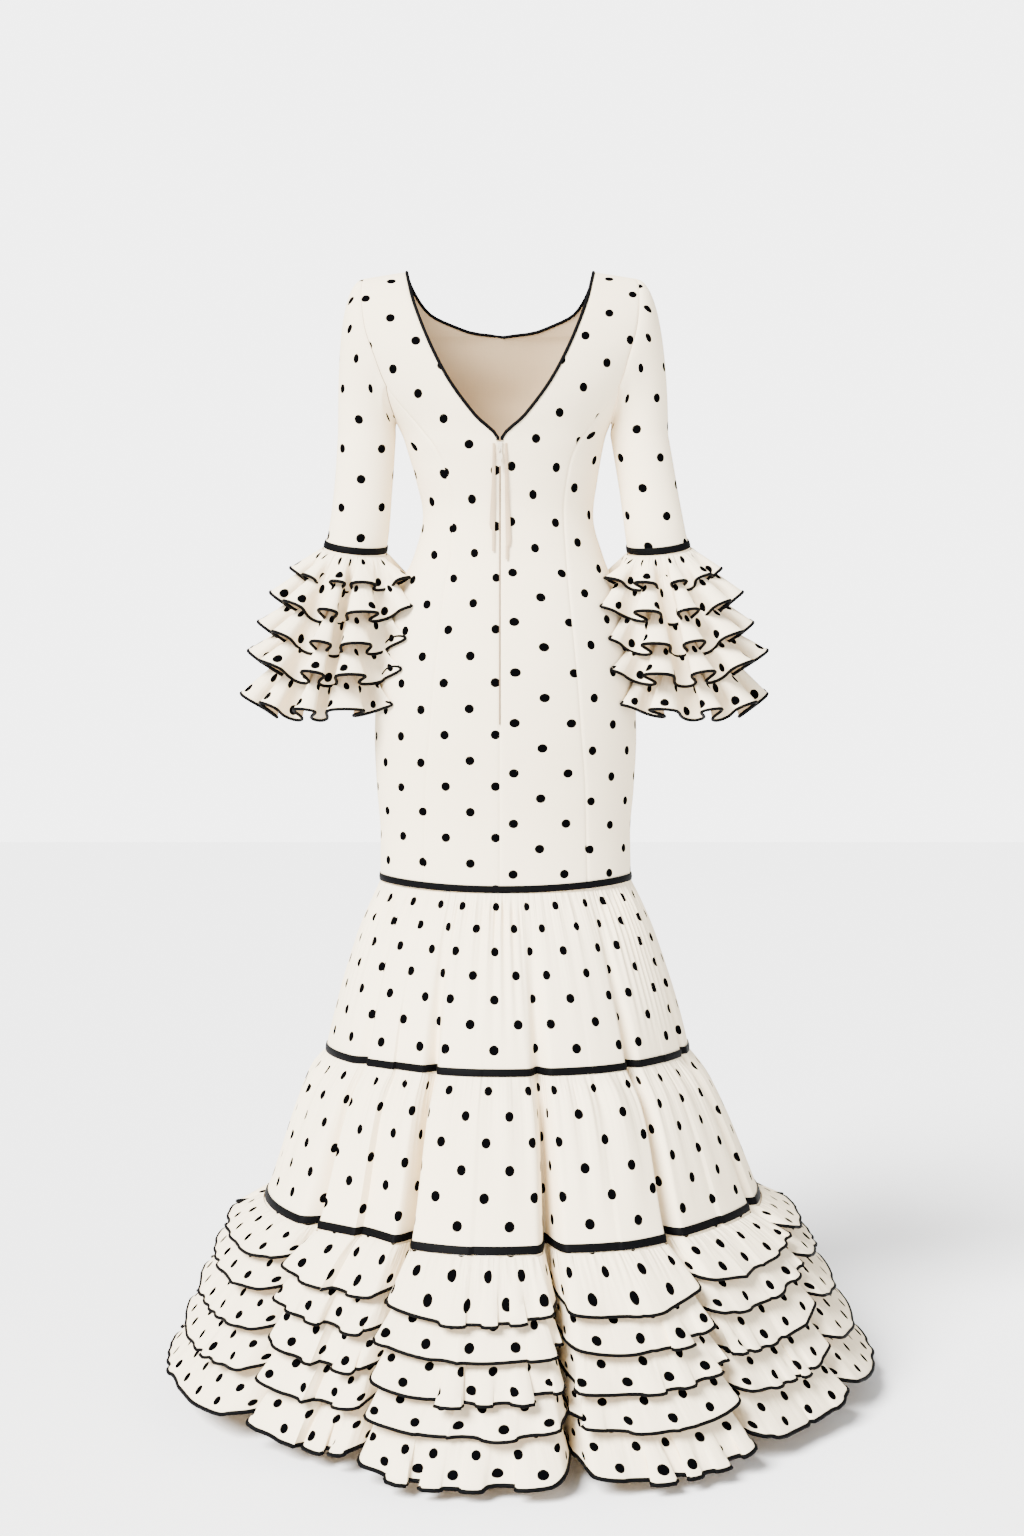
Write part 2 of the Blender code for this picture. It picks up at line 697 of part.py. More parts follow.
def build_hanger_loops(grids):
    """Two narrow ribbons that hang down over the back, one on each side of the zip."""
    for name, rows in HANGER_LOOPS.items():
        side = SIDES[name]
        centre = grids[name, "back", "centre"][:, 0]
        first = grids[name, "back", "centre"][:, 1]
        grid, normals = [], []
        for height, middle, half, off in zip(*rows.values()):
            inner = np.array([np.interp(height, centre[:12, 2], centre[:12, axis]) for axis in range(3)])
            outer = np.array([np.interp(height, first[:12, 2], first[:12, axis]) for axis in range(3)])
            across = (outer - inner) / abs(outer[0] - inner[0])
            outwards = unit(np.cross(side * across, (0.0, 0.0, 1.0)))
            outwards = outwards if outwards[1] > 0 else -outwards
            line = [inner + across * (middle + step * half) + outwards * off for step in (-1, 1)]
            grid.append(line if side == -1 else line[::-1])
            normals.append([outwards, outwards])
        grid, normals = np.array(grid)[::-1], np.array(normals)[::-1]
        ribbon(f"hanger_loop_{name}", grid, normals, 0.0, RIBBON, "cream_ribbon")


# ---- sleeves ----


def forearm_frame(side):
    """Outward and backward directions of the forearm's rings, and the way down the forearm."""
    down = unit((WRIST - ELBOW) * (side, 1, 1))
    outwards = unit(np.array((side, 0.0, RING_RISE)))
    backwards = np.array((0.0, cos(RING_DIP), -sin(RING_DIP)))
    return outwards, backwards, down


def armhole_ring(grids, name):
    """The armhole's points: from the shoulder down the back, under the arm and up the front."""
    back, front = (grids[name, face, "centre"][len(FITTED_ROWS[face]):, -1] for face in ("back", "front"))
    under_back, under_front = (grids[name, face, "side"][-1] for face in ("back", "front"))
    return np.concatenate((back[::-1], under_back[1:], under_front[::-1][1:], front[1:-1]))


def ring_angles(ring, half):
    """Angles for the points of a ring, by length: 0 at the first and half a turn at the given one."""
    steps = np.linalg.norm(np.diff(closed(ring), axis=0), axis=1)
    length = np.concatenate(((0.0,), np.cumsum(steps)))
    behind, total = length[half], length[-1]
    return [
        pi * place / behind if place <= behind else pi + pi * (place - behind) / (total - behind)
        for place in length[:-1]
    ]


def sleeve_grid(grids, name):
    side = SIDES[name]
    top = armhole_ring(grids, name)
    under = len(YOKE_ROWS["back"]) + SIDE_STEPS - 1
    angles = ring_angles(top, under)
    square = forearm_frame(side)[:2]
    level = (np.array((side, 0.0, 0.0)), np.array((0.0, 1.0, 0.0)))
    rings = []
    for height, centre, behind, radius, turn, shift in zip(*SLEEVE.values()):
        outwards, backwards = (unit(a * (1 - turn) + b * turn) for a, b in zip(level, square))
        middle = np.array((side * centre + shift, behind, height))
        rings.append([middle + radius * (cos(a) * outwards + sin(a) * backwards) for a in angles])
    head = []
    for share in SLEEVE_HEAD:
        ring = []
        for start, end in zip(top, rings[0]):
            length = np.linalg.norm(end - start)
            leave = np.array((side, 0.0, -0.15)) * length * HEAD_FULLNESS
            arrive = np.array((0.0, 0.0, -1.0)) * length
            s, s2, s3 = share, share**2, share**3
            ring.append(
                (2 * s3 - 3 * s2 + 1) * start
                + (s3 - 2 * s2 + s) * leave
                + (3 * s2 - 2 * s3) * end
                + (s3 - s2) * arrive
            )
        head.append(ring)
    grid = np.array([closed(np.array(ring)) for ring in head + rings])[::-1]
    return grid if side == 1 else grid[:, ::-1]


def forearm_ring(side, distances, radii, angles):
    """A ring round the forearm, with a distance below the elbow and a radius for each angle."""
    outwards, backwards, down = forearm_frame(side)
    middle = ELBOW * (side, 1, 1) + (FOREARM_SHIFT, 0.0, 0.0)
    ring = [
        middle + down * distance + radius * (cos(angle) * outwards + sin(angle) * backwards)
        for distance, radius, angle in zip(distances, radii, angles)
    ]
    ring = closed(np.array(ring))
    return ring if side == 1 else ring[::-1]


def base_radius(distance):
    start, end = LOWER_SLEEVE_RADIUS
    return start + (end - start) * distance / LOWER_SLEEVE_LENGTH


def build_lower_sleeve(name):
    side = SIDES[name]
    angles = [2 * pi * step / LOWER_SLEEVE_SIDES for step in range(LOWER_SLEEVE_SIDES)]
    rings = [
        forearm_ring(side, [distance] * len(angles), [base_radius(distance)] * len(angles), angles)
        for distance in (LOWER_SLEEVE_LENGTH, GAP)
    ]
    points, faces = weld(np.array(rings))
    wall(f"lower_sleeve_{name}", points, faces, surface_normals(points, faces), CLOTH, "ivory_crepe")


def build_sleeve_ruffle(name, number, seam, hem, radius, against_hip, wave, lift):
    """A gathered ruffle round the forearm, flattened where it lies against the hip."""
    side = SIDES[name]
    distances, angles, radii = [], [], []
    for index in range(SLEEVE_WAVES * WAVE_POINTS):
        phase = 2 * pi * (index / WAVE_POINTS + WAVE_FIRST)
        plain = 2 * pi * index / (SLEEVE_WAVES * WAVE_POINTS)
        inward = -cos(plain)
        lying = smooth((inward - RESTING[0]) / (RESTING[1] - RESTING[0]))
        free = 1.0 - (1.0 - CALM) * lying
        bulge = 1.0 + HIP_BULGE * smooth((inward - 0.2) / 0.5) * (1.0 if sin(plain) > 0 else 0.4)
        middle = radius * bulge * (1.0 - lying) + against_hip * lying
        angles.append(plain + free * WAVE_OVERHANG * sin(2 * phase) * 2 * pi / SLEEVE_WAVES)
        radii.append(middle + free * wave * cos(phase))
        distances.append(hem - free * lift * cos(phase))
    count = len(angles)
    seam_radii = [base_radius(seam) + GAP + CLOTH] * count
    plain_angles = [2 * pi * index / count for index in range(count)]
    rings = np.array((
        forearm_ring(side, distances, radii, angles),
        forearm_ring(side, [seam] * count, seam_radii, plain_angles),
    ))
    points, faces = weld(rings)
    normals = surface_normals(points, faces)
    wall(f"sleeve_ruffle_{name}_{number}", points, faces, normals, CLOTH, "ivory_crepe")


# ---- skirt ----


def skirt_ring(height, width, back, front, shift, dip, fold):
    """A ring of the skirt with its folds, anticlockwise from the first of them."""
    lower = smooth((SKIRT_RINGS["tier_1_bottom"]["height"] - height) / 0.35)
    ring = []
    starts = FOLDS["above"] + (FOLDS["hem"] - FOLDS["above"]) * lower
    ends = np.append(starts[1:], starts[0] + 360)
    depths = closed(FOLDS["depth"])
    for index, (start, end) in enumerate(zip(starts, ends)):
        for place, share, tuck in zip(LOBE["place"], LOBE["fold"], LOBE["tuck"]):
            depth = fold * (depths[index] if place < 0.5 else depths[index + 1])
            angle = radians(start + (end - start) * place) + TUCK * fold * tuck / width
            reach = fold * (FOLDS["lobe"][index] * sin(pi * place) - share) * (depth / max(fold, 1e-9))
            outwards = np.array((-sin(angle), cos(angle)))
            middle = np.array((-sin(angle) * width, cos(angle) * (back if cos(angle) > 0 else front)))
            flat = middle + outwards * reach
            ring.append((flat[0] + shift, flat[1], height - dip * max(cos(angle), 0.0) ** 2))
    return np.array(ring)


def from_apex(ring, share):
    """A ring of the skirt's base, which is the top ring enlarged from the apex."""
    return APEX + (ring - APEX) * share


def build_tier(name, names):
    grid = np.array([closed(skirt_ring(**SKIRT_RINGS[ring])) for ring in names])[::-1]
    points, faces = weld(grid)
    normals = surface_normals(points, faces)
    wall(name, drawn_in(points, faces, GAP / 2), faces, normals, CLOTH, "ivory_crepe")
    return grid, {key(point): normal for point, normal in zip(points, normals)}


def build_band(name, grid, found):
    """A ribbon on the two lowest rows of a surface."""
    rows = grid[:2]
    normals = np.array([[found[key(point)] for point in row] for row in rows])
    ribbon(name, rows, normals, GAP, RIBBON, "black_ribbon")


def build_skirt():
    first = ("tier_1_top", "tier_1_middle", "tier_1_band", "tier_1_bottom")
    second = ("tier_1_bottom", "tier_2_middle", "tier_2_band", "tier_2_bottom")
    for number, names in ((1, first), (2, second)):
        grid, found = build_tier(f"skirt_tier_{number}", names)
        build_band(f"skirt_band_{number + 1}", grid, found)
    top = skirt_ring(**SKIRT_RINGS["tier_2_bottom"])
    top_height = SKIRT_RINGS["tier_2_bottom"]["height"]

    def share_at(height):
        return (APEX[2] - height) / (APEX[2] - top_height)

    base = np.array([closed(from_apex(top, share_at(height))) for height in (BASE_BOTTOM, top_height - GAP)])
    points, faces = weld(base)
    base_normals = surface_normals(points, faces)
    wall("skirt_base", points, faces, base_normals, CLOTH, "ivory_crepe")
    found = {key(point): normal for point, normal in zip(points, base_normals)}
    top_normals = np.array([found[key(point)] for point in base[1][:-1]])
    flat_normals = top_normals * (1, 1, 0)
    flat_normals /= np.linalg.norm(flat_normals, axis=1)[:, None]
    shares, room = (np.tile(LOBE[column], len(FOLDS["depth"])) for column in ("fold", "room"))
    radial = top * (1, 1, 0)
    radial /= np.linalg.norm(radial, axis=1)[:, None]
    behind = np.maximum(radial[:, 1], 0.0) ** 2
    away = np.where(shares[:, None] > 0.99, radial, flat_normals)
    for number, row in enumerate(zip(*HEM_RUFFLES.values()), start=1):
        seam, seam_dip, hem, hem_dip, lobe, valley = row
        seam_ring = from_apex(top, share_at(seam - seam_dip * behind)[:, None])
        seam_ring += top_normals * (GAP * room)[:, None]
        hem_ring = from_apex(top, share_at(hem - hem_dip * behind)[:, None])
        hem_ring += away * (valley * room)[:, None] + radial * ((lobe - valley) * (1.0 - shares))[:, None]
        points, faces = weld(np.array((closed(hem_ring), closed(seam_ring))))
        normals = surface_normals(points, faces)
        wall(f"hem_ruffle_{number}", points + normals * CLOTH, faces, normals, CLOTH, "ivory_crepe")


# ---- the dress ----


def make_material(name, colour, roughness, metallic):
    material = bpy.data.materials.new(name)
    material.use_nodes = True
    material.diffuse_color = colour
    shader = material.node_tree.nodes["Principled BSDF"]
    shader.inputs["Base Color"].default_value = colour
    shader.inputs["Roughness"].default_value = roughness
    shader.inputs["Metallic"].default_value = metallic
    return material


for item in list(bpy.data.objects):
    bpy.data.objects.remove(item)
dress = bpy.data.collections.new("flamenco_dress")
cutters = bpy.data.collections.new("joined_pieces")
cutters.hide_render = True
bpy.context.scene.collection.children.link(dress)
bpy.context.scene.collection.children.link(cutters)
MATERIALS = {name: make_material(name, *values) for name, values in COLOURS.items()}


def build_dress():
    grids = body_grids()
    surfaces = body_surfaces(grids)
    sleeves = {name: sleeve_grid(grids, name) for name in SIDES}
    surfaces.update({f"sleeve_{name}": weld(grid) for name, grid in sleeves.items()})
    normals = shared_normals(surfaces)
    normal_at = normal_finder(surfaces)
    for name, (points, faces) in surfaces.items():
        part = GAP if name.startswith("sleeve") else GAP / 2
        wall(name, drawn_in(points, faces, part), faces, normals[name], CLOTH, "ivory_crepe")
    rows = np.array([closed(body_ring(grids, row)) for row in (0, 1)])
    ribbon("skirt_band_1", rows, normal_at(rows), GAP, RIBBON, "black_ribbon")
    for name, grid in sleeves.items():
        ribbon(f"sleeve_band_{name}", grid[:2], normal_at(grid[:2]), GAP, RIBBON, "black_ribbon")
        build_lower_sleeve(name)
        for number, row in enumerate(zip(*SLEEVE_RUFFLES.values()), start=1):
            build_sleeve_ruffle(name, number, *row)
    build_neck_binding(grids, normal_at)
    build_zip_tape(grids, normal_at)
    build_slider(grids)
    build_hanger_loops(grids)
    build_skirt()


build_dress()
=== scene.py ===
from math import pi, radians

import bpy
import numpy as np
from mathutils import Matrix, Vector


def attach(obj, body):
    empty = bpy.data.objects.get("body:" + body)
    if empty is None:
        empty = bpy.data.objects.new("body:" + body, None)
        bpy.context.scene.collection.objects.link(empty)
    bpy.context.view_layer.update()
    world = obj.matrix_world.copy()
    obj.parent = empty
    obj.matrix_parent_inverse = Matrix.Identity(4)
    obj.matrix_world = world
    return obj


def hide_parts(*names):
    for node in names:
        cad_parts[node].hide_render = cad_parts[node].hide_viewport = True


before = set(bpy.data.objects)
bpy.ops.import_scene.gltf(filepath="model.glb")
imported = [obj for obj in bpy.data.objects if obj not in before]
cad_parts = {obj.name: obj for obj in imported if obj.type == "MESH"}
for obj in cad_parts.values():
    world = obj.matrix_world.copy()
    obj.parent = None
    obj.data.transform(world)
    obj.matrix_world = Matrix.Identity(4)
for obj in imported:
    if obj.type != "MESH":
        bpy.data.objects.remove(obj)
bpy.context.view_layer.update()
bpy.ops.object.select_all(action="DESELECT")
sides = {"left": 1, "right": -1}  # the wearer's own, as the sign of X


# smooth reading of tables and small helpers


def columnsOf(names, *rows):
    return {name: np.array(column, float) for name, column in zip(names.split(), zip(*rows))}


def curveBetween(t, start, leave, end, arrive):
    # from start to end as t goes from 0 to 1, leaving and arriving in the given directions
    return (
        (2 * t**3 - 3 * t**2 + 1) * start
        + (t**3 - 2 * t**2 + t) * leave
        + (3 * t**2 - 2 * t**3) * end
        + (t**3 - t**2) * arrive
    )


def smoothRead(places, values, at):
    # monotone cubic through the values, which may be numbers or whole arrays
    places, values, at = np.asarray(places, float), np.asarray(values, float), np.asarray(at, float)
    steps = np.diff(places).reshape((-1,) + (1,) * (values.ndim - 1))
    slopes = np.diff(values, axis=0) / steps
    tangents = np.concatenate((slopes[:1], (slopes[:-1] + slopes[1:]) / 2, slopes[-1:]))
    before, after = slopes[:-1], slopes[1:]
    same = before * after > 0
    safe = np.where(same, before + after, 1.0)
    tangents[1:-1] = np.where(same, 2 * before * after / safe, 0.0)
    span = np.clip(np.searchsorted(places, at, side="right") - 1, 0, len(places) - 2)
    t = np.clip((at - places[span]) / (places[span + 1] - places[span]), 0, 1)
    t = t.reshape(t.shape + (1,) * (values.ndim - 1))
    size = (places[span + 1] - places[span]).reshape(t.shape)
    return curveBetween(t, values[span], size * tangents[span], values[span + 1], size * tangents[span + 1])


def readTable(table, height, *names, smooth=False):
    # the named columns at a height, or the one column alone
    order = np.argsort(table["height"])
    places, columns = table["height"][order], [table[name][order] for name in names]
    if smooth:
        found = [smoothRead(places, column, height) for column in columns]
    else:
        found = [np.interp(height, places, column) for column in columns]
    return found if len(found) > 1 else found[0]


def smoothStep(share):
    share = np.clip(share, 0, 1)
    return share * share * (3 - 2 * share)


def unit(vectors):
    return vectors / np.maximum(np.linalg.norm(vectors, axis=-1, keepdims=True), 1e-12)


def wander(around, seed, low, high):
    # a wave without a beat that closes on itself after one turn
    random = np.random.default_rng(seed)
    total, weight = np.zeros(np.shape(around)), 0.0
    for count in range(low, high + 1):
        size = random.uniform(0.4, 1.0)
        total += size * np.sin(2 * pi * (count * around + random.uniform(0, 1)))
        weight += size * size / 2
    return total / weight**0.5


def pathLengths(points):
    return np.concatenate(((0.0,), np.cumsum(np.linalg.norm(np.diff(points, axis=0), axis=1))))


def lengthsAlong(grid, axis):
    # running lengths from the grid's first row (axis 0) or first column (axis 1)
    steps = np.linalg.norm(np.diff(grid, axis=axis), axis=2)
    return np.concatenate((np.zeros_like(steps.take([0], axis)), np.cumsum(steps, axis=axis)), axis)


def wrapped(points, axis=0):
    # the first point again at the end
    return np.concatenate((points, points.take([0], axis)), axis)


# meshes from grids: columns run anticlockwise seen from above and rows run up, so they face out


def gridNormals(grid, wrap):
    if wrap:
        along = np.roll(grid, -1, 1) - np.roll(grid, 1, 1)
    else:
        along = np.gradient(grid, axis=1)
    return unit(np.cross(along, np.gradient(grid, axis=0)))


def addGrid(name, grid, across, upwards, wrap=False):
    rows, columns = grid.shape[:2]
    index = np.arange(rows * columns).reshape(rows, columns)
    if wrap:
        index = wrapped(index, 1)
    low, high = slice(None, -1), slice(1, None)
    corners = ((low, low), (low, high), (high, high), (high, low))
    faces = np.stack([index[corner] for corner in corners], -1).reshape(-1, 4)
    mesh = bpy.data.meshes.new(name)
    mesh.from_pydata(grid.reshape(-1, 3).tolist(), [], faces.tolist())
    for layer, climb in (("cloth", upwards), ("span", np.linspace(0, 1, rows)[:, None])):
        flat = np.stack([np.broadcast_to(values, index.shape) for values in (across, climb)], -1)
        uv = np.stack([flat[corner] for corner in corners], 2).reshape(-1)
        mesh.uv_layers.new(name=layer).data.foreach_set("uv", uv.astype(np.float32))
    piece = bpy.data.objects.new(name, mesh)
    bpy.context.scene.collection.objects.link(piece)
    return piece


def makeActive(piece):
    bpy.ops.object.select_all(action="DESELECT")
    piece.select_set(True)
    bpy.context.view_layer.objects.active = piece


def thicken(piece, amount, outer, inner="crepeInnerShade", offset=-1.0):
    for name in (outer, inner):
        piece.data.materials.append(materials[name])
    makeActive(piece)
    wall = piece.modifiers.new("wall", "SOLIDIFY")
    wall.thickness = amount
    wall.offset = offset
    wall.material_offset = 1
    bpy.ops.object.modifier_apply(modifier=wall.name)
    bpy.ops.object.shade_smooth_by_angle(angle=radians(50))


def addTube(name, path, downwards, radius, material, closed=True, turns=6):
    # a rolled edge along a path, round in section; downwards is any direction square to it
    if closed:
        along = unit(np.roll(path, -1, 0) - np.roll(path, 1, 0))
    else:
        along = unit(np.gradient(path, axis=0))
    first = unit(downwards - along * np.sum(downwards * along, 1, keepdims=True))
    second = np.cross(along, first)
    angles = (2 * pi * np.arange(turns) / turns)[:, None, None]
    rings = path + radius * (np.cos(angles) * first + np.sin(angles) * second)
    girth = (np.arange(turns + 1) / turns * 2 * pi * radius)[:, None]
    piece = addGrid(name, wrapped(rings), pathLengths(wrapped(path) if closed else path), girth, wrap=closed)
    makeActive(piece)
    bpy.ops.object.mode_set(mode="EDIT")
    bpy.ops.mesh.select_all(action="SELECT")
    bpy.ops.mesh.remove_doubles(threshold=1e-6)
    if not closed:
        bpy.ops.mesh.select_all(action="DESELECT")
        bpy.ops.mesh.select_non_manifold()
        bpy.ops.mesh.edge_face_add()
        bpy.ops.mesh.select_all(action="SELECT")
    bpy.ops.mesh.normals_make_consistent(inside=False)
    bpy.ops.object.mode_set(mode="OBJECT")
    bpy.ops.object.shade_smooth()
    piece.data.materials.append(materials[material])
    return piece


def areaOf(grid, wrap=False):
    if wrap:
        grid = wrapped(grid, 1)
    diagonals = np.cross(grid[1:, 1:] - grid[:-1, :-1], grid[1:, :-1] - grid[:-1, 1:])
    return float(np.linalg.norm(diagonals, axis=2).sum() / 2)


def register(piece, node=None):
    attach(piece, "dress")
    if node:
        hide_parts(node)


# materials


def feed(tree, value, socket):
    # a socket takes what another node puts out, a number or a colour
    if isinstance(value, bpy.types.NodeSocket):
        tree.links.new(value, socket)
    elif value is not None:
        socket.default_value = (*value, 1.0) if socket.type == "RGBA" else value


def addNode(tree, kind, **values):
    node = tree.nodes.new(f"ShaderNode{kind}")
    for label, value in values.items():
        feed(tree, value, node.inputs[label])
    return node


def mathNode(tree, operation, first, second=None, clamp=False):
    node = addNode(tree, "Math")
    node.operation = operation
    node.use_clamp = clamp
    for slot, value in enumerate((first, second)):
        feed(tree, value, node.inputs[slot])
    return node.outputs[0]


def plus(tree, first, second):
    return mathNode(tree, "ADD", first, second)


def minus(tree, first, second):
    return mathNode(tree, "SUBTRACT", first, second)


def times(tree, first, second, clamp=False):
    return mathNode(tree, "MULTIPLY", first, second, clamp)


def noise(tree, place, scale, detail=2.0):
    return addNode(tree, "TexNoise", Vector=place, Scale=scale, Detail=detail).outputs["Fac"]


def uvMap(tree, layer="cloth"):
    node = addNode(tree, "UVMap")
    node.uv_map = layer
    return node.outputs[0]


def objectPlace(tree):
    return addNode(tree, "TexCoord").outputs["Object"]


def mixColour(tree, share, first, second):
    node = addNode(tree, "Mix")
    node.data_type = "RGBA"
    for slot, value in ((0, share), (6, first), (7, second)):
        feed(tree, value, node.inputs[slot])
    return node.outputs[2]


def newGroup(name, inputs, *outputs):
    # an input without a number is a vector, and each output is a number
    group = bpy.data.node_groups.new(name, "ShaderNodeTree")
    for label, value in inputs.items():
        kind = "NodeSocketVector" if value is None else "NodeSocketFloat"
        socket = group.interface.new_socket(name=label, in_out="INPUT", socket_type=kind)
        if value is not None:
            socket.default_value = value
    for label in outputs:
        group.interface.new_socket(name=label, in_out="OUTPUT", socket_type="NodeSocketFloat")
    return group, group.nodes.new("NodeGroupInput").outputs, group.nodes.new("NodeGroupOutput").inputs


dotEdge = {"wobbleScale": 260.0, "wobble": 0.0003, "spread": 0.00012, "sharpness": 4200.0}


def polkaDotGroup():
    # staggered rows of round dots on the cloth's own coordinates, in metres
    group, inside, outside = newGroup(
        "polkaDots", {"Cloth": None, "Spacing": 0.065, "Row Height": 0.0335, "Radius": 0.0051}, "Dots"
    )
    flat = addNode(group, "SeparateXYZ", Vector=inside["Cloth"]).outputs
    distances = []
    for shift in (0.5, 1.0):
        squares = []
        for axis, size, repeat in (("X", "Spacing", 1.0), ("Y", "Row Height", 2.0)):
            period = times(group, inside[size], repeat)
            turns = mathNode(group, "DIVIDE", flat[axis], period)
            part = mathNode(group, "FRACT", plus(group, turns, shift))
            away = times(group, minus(group, part, 0.5), period)
            squares.append(times(group, away, away))
        distances.append(mathNode(group, "SQRT", plus(group, *squares)))
    nearest = mathNode(group, "MINIMUM", *distances)
    wobble = minus(group, noise(group, inside["Cloth"], dotEdge["wobbleScale"], 1.0), 0.5)
    edge = minus(group, inside["Radius"], plus(group, nearest, times(group, wobble, dotEdge["wobble"])))
    dots = times(group, plus(group, edge, dotEdge["spread"]), dotEdge["sharpness"], clamp=True)
    group.links.new(dots, outside["Dots"])
    return group


def weaveGroup():
    # crossing threads with uneven tension, as a height from 0 to 1
    group, inside, outside = newGroup(
        "plainWeave", {"Cloth": None, "Threads": 2200.0, "Slub": 0.35}, "Height", "Slubs"
    )
    flat = addNode(group, "SeparateXYZ", Vector=inside["Cloth"]).outputs
    turns = [times(group, flat[axis], inside["Threads"]) for axis in "XY"]
    threads = [mathNode(group, "SINE", times(group, count, pi)) for count in turns]
    weave = plus(group, times(group, times(group, *threads), 0.5), 0.5)
    slubs = [
        noise(group, addNode(group, "Mapping", Vector=inside["Cloth"], Scale=stretch).outputs[0], 1.0)
        for stretch in ((18.0, 900.0, 1.0), (900.0, 18.0, 1.0))
    ]
    streaked = times(group, plus(group, *slubs), 0.5)
    group.links.new(plus(group, weave, times(group, streaked, inside["Slub"])), outside["Height"])
    group.links.new(streaked, outside["Slubs"])
    return group


def softFoldGroup():
    # slow swells and fine creases that a worn garment has, as a height
    group, inside, outside = newGroup("softFolds", {"Place": None, "Size": 14.0}, "Height")
    slow = noise(group, inside["Place"], inside["Size"], 1.5)
    fine = noise(group, inside["Place"], times(group, inside["Size"], 5.0))
    group.links.new(plus(group, slow, times(group, fine, 0.12)), outside["Height"])
    return group


def gatherGroup():
    # fine creases that run down from a gathered seam and fade, as a height
    inputs = {"Span": None, "Creases": 150.0, "Fade": 0.4}
    group, inside, outside = newGroup("gatherCreases", inputs, "Height")
    flat = addNode(group, "SeparateXYZ", Vector=inside["Span"]).outputs
    stretched = addNode(
        group, "CombineXYZ", X=times(group, flat["X"], inside["Creases"]), Y=times(group, flat["Y"], 1.3)
    )
    creases = noise(group, stretched.outputs[0], 1.0, 1.0)
    below = mathNode(group, "DIVIDE", minus(group, 1.0, flat["Y"]), inside["Fade"])
    fading = mathNode(group, "POWER", 2.718, times(group, below, -1.0))
    group.links.new(times(group, creases, fading), outside["Height"])
    return group


groups = {"dots": polkaDotGroup(), "weave": weaveGroup(), "folds": softFoldGroup(), "gathers": gatherGroup()}


def placeGroup(tree, name, **values):
    node = tree.nodes.new("ShaderNodeGroup")
    node.node_tree = groups[name]
    for label, value in values.items():
        feed(tree, value, node.inputs[label.replace("_", " ")])
    return node.outputs


def newMaterial(name, roughness, shine):
    material = bpy.data.materials.new(name)
    material.use_nodes = True
    shader = material.node_tree.nodes["Principled BSDF"]
    for label, value in (("Roughness", roughness), ("Sheen Weight", 0.0), ("Specular IOR Level", shine)):
        shader.inputs[label].default_value = value
    return material, material.node_tree, shader


def bumpChain(tree, shader, *layers):
    normal = None
    for height, strength, distance in layers:
        bump = addNode(tree, "Bump", Strength=strength, Distance=distance, Height=height, Normal=normal)
        normal = bump.outputs[0]
    tree.links.new(normal, shader.inputs["Normal"])


# bumps are (strength, distance)
crepe = {
    "ivory": (0.880, 0.762, 0.560),
    "warm": (0.800, 0.650, 0.435),
    # inside: the inner face's colour, darker than ivory as painted shade where the inner face shows in folds
    # and flute mouths
    "inside": (0.500, 0.360, 0.210),
    "dot": (0.0010, 0.0010, 0.0012),
    "roughness": 0.85,
    "dotSmoother": 0.15,
    "shine": 0.0,
    "patchScale": 6.0,
    "patchShare": 0.35,
    "slubShare": 0.2,
    "foldBump": (0.35, 0.004),
    "threadBump": (0.25, 0.00008),
    "dotBump": (0.3, 0.00015),
}


def makeCrepe(name, dots=None, gathers=None):
    # without dots it is the cloth's inner face, plain and darker: the darker colour is painted shade for the
    # hollows of folds and flute mouths
    material, tree, shader = newMaterial(name, crepe["roughness"], crepe["shine"])
    cloth, place = uvMap(tree), objectPlace(tree)
    weave = placeGroup(tree, "weave", Cloth=cloth)
    folds = placeGroup(tree, "folds", Place=place)
    patches = times(tree, noise(tree, place, crepe["patchScale"], 3.0), crepe["patchShare"])
    share = plus(tree, patches, times(tree, weave["Slubs"], crepe["slubShare"]))
    colour = mixColour(tree, share, crepe["ivory" if dots else "inside"], crepe["warm"])
    layers = [(folds["Height"], *crepe["foldBump"]), (weave["Height"], *crepe["threadBump"])]
    if gathers:
        creases = placeGroup(
            tree, "gathers", Span=uvMap(tree, "span"), Creases=gathers["creases"], Fade=gathers["fade"]
        )
        layers.insert(0, (creases["Height"], 1.0, gathers["depth"]))
    if dots:
        spots = placeGroup(
            tree, "dots", Cloth=cloth, Spacing=dots["spacing"], Row_Height=dots["rows"], Radius=dots["radius"]
        )["Dots"]
        colour = mixColour(tree, spots, colour, crepe["dot"])
        rough = minus(tree, crepe["roughness"], times(tree, spots, crepe["dotSmoother"]))
        tree.links.new(rough, shader.inputs["Roughness"])
        layers.append((spots, *crepe["dotBump"]))
    tree.links.new(colour, shader.inputs["Base Color"])
    bumpChain(tree, shader, *layers)
    return material


ribbons = {
    "blackRibbon": {
        "base": (0.0010, 0.0010, 0.0012), "shade": (0.0030, 0.0030, 0.0034),
        "roughness": 0.55, "shine": 0.02, "ribs": 1500.0,
    },
    "creamRibbon": {
        "base": (0.500, 0.375, 0.235), "shade": (0.340, 0.235, 0.130),
        "roughness": 0.50, "shine": 0.20, "ribs": 1800.0,
    },
    # the teeth's dark tan is painted shade: it stands in for the shaded slit along the invisible zip
    "zipTeethAndSlitShade": {
        "base": (0.210, 0.135, 0.070), "shade": (0.120, 0.075, 0.040),
        "roughness": 0.50, "shine": 0.20, "ribs": 900.0,
    },
}


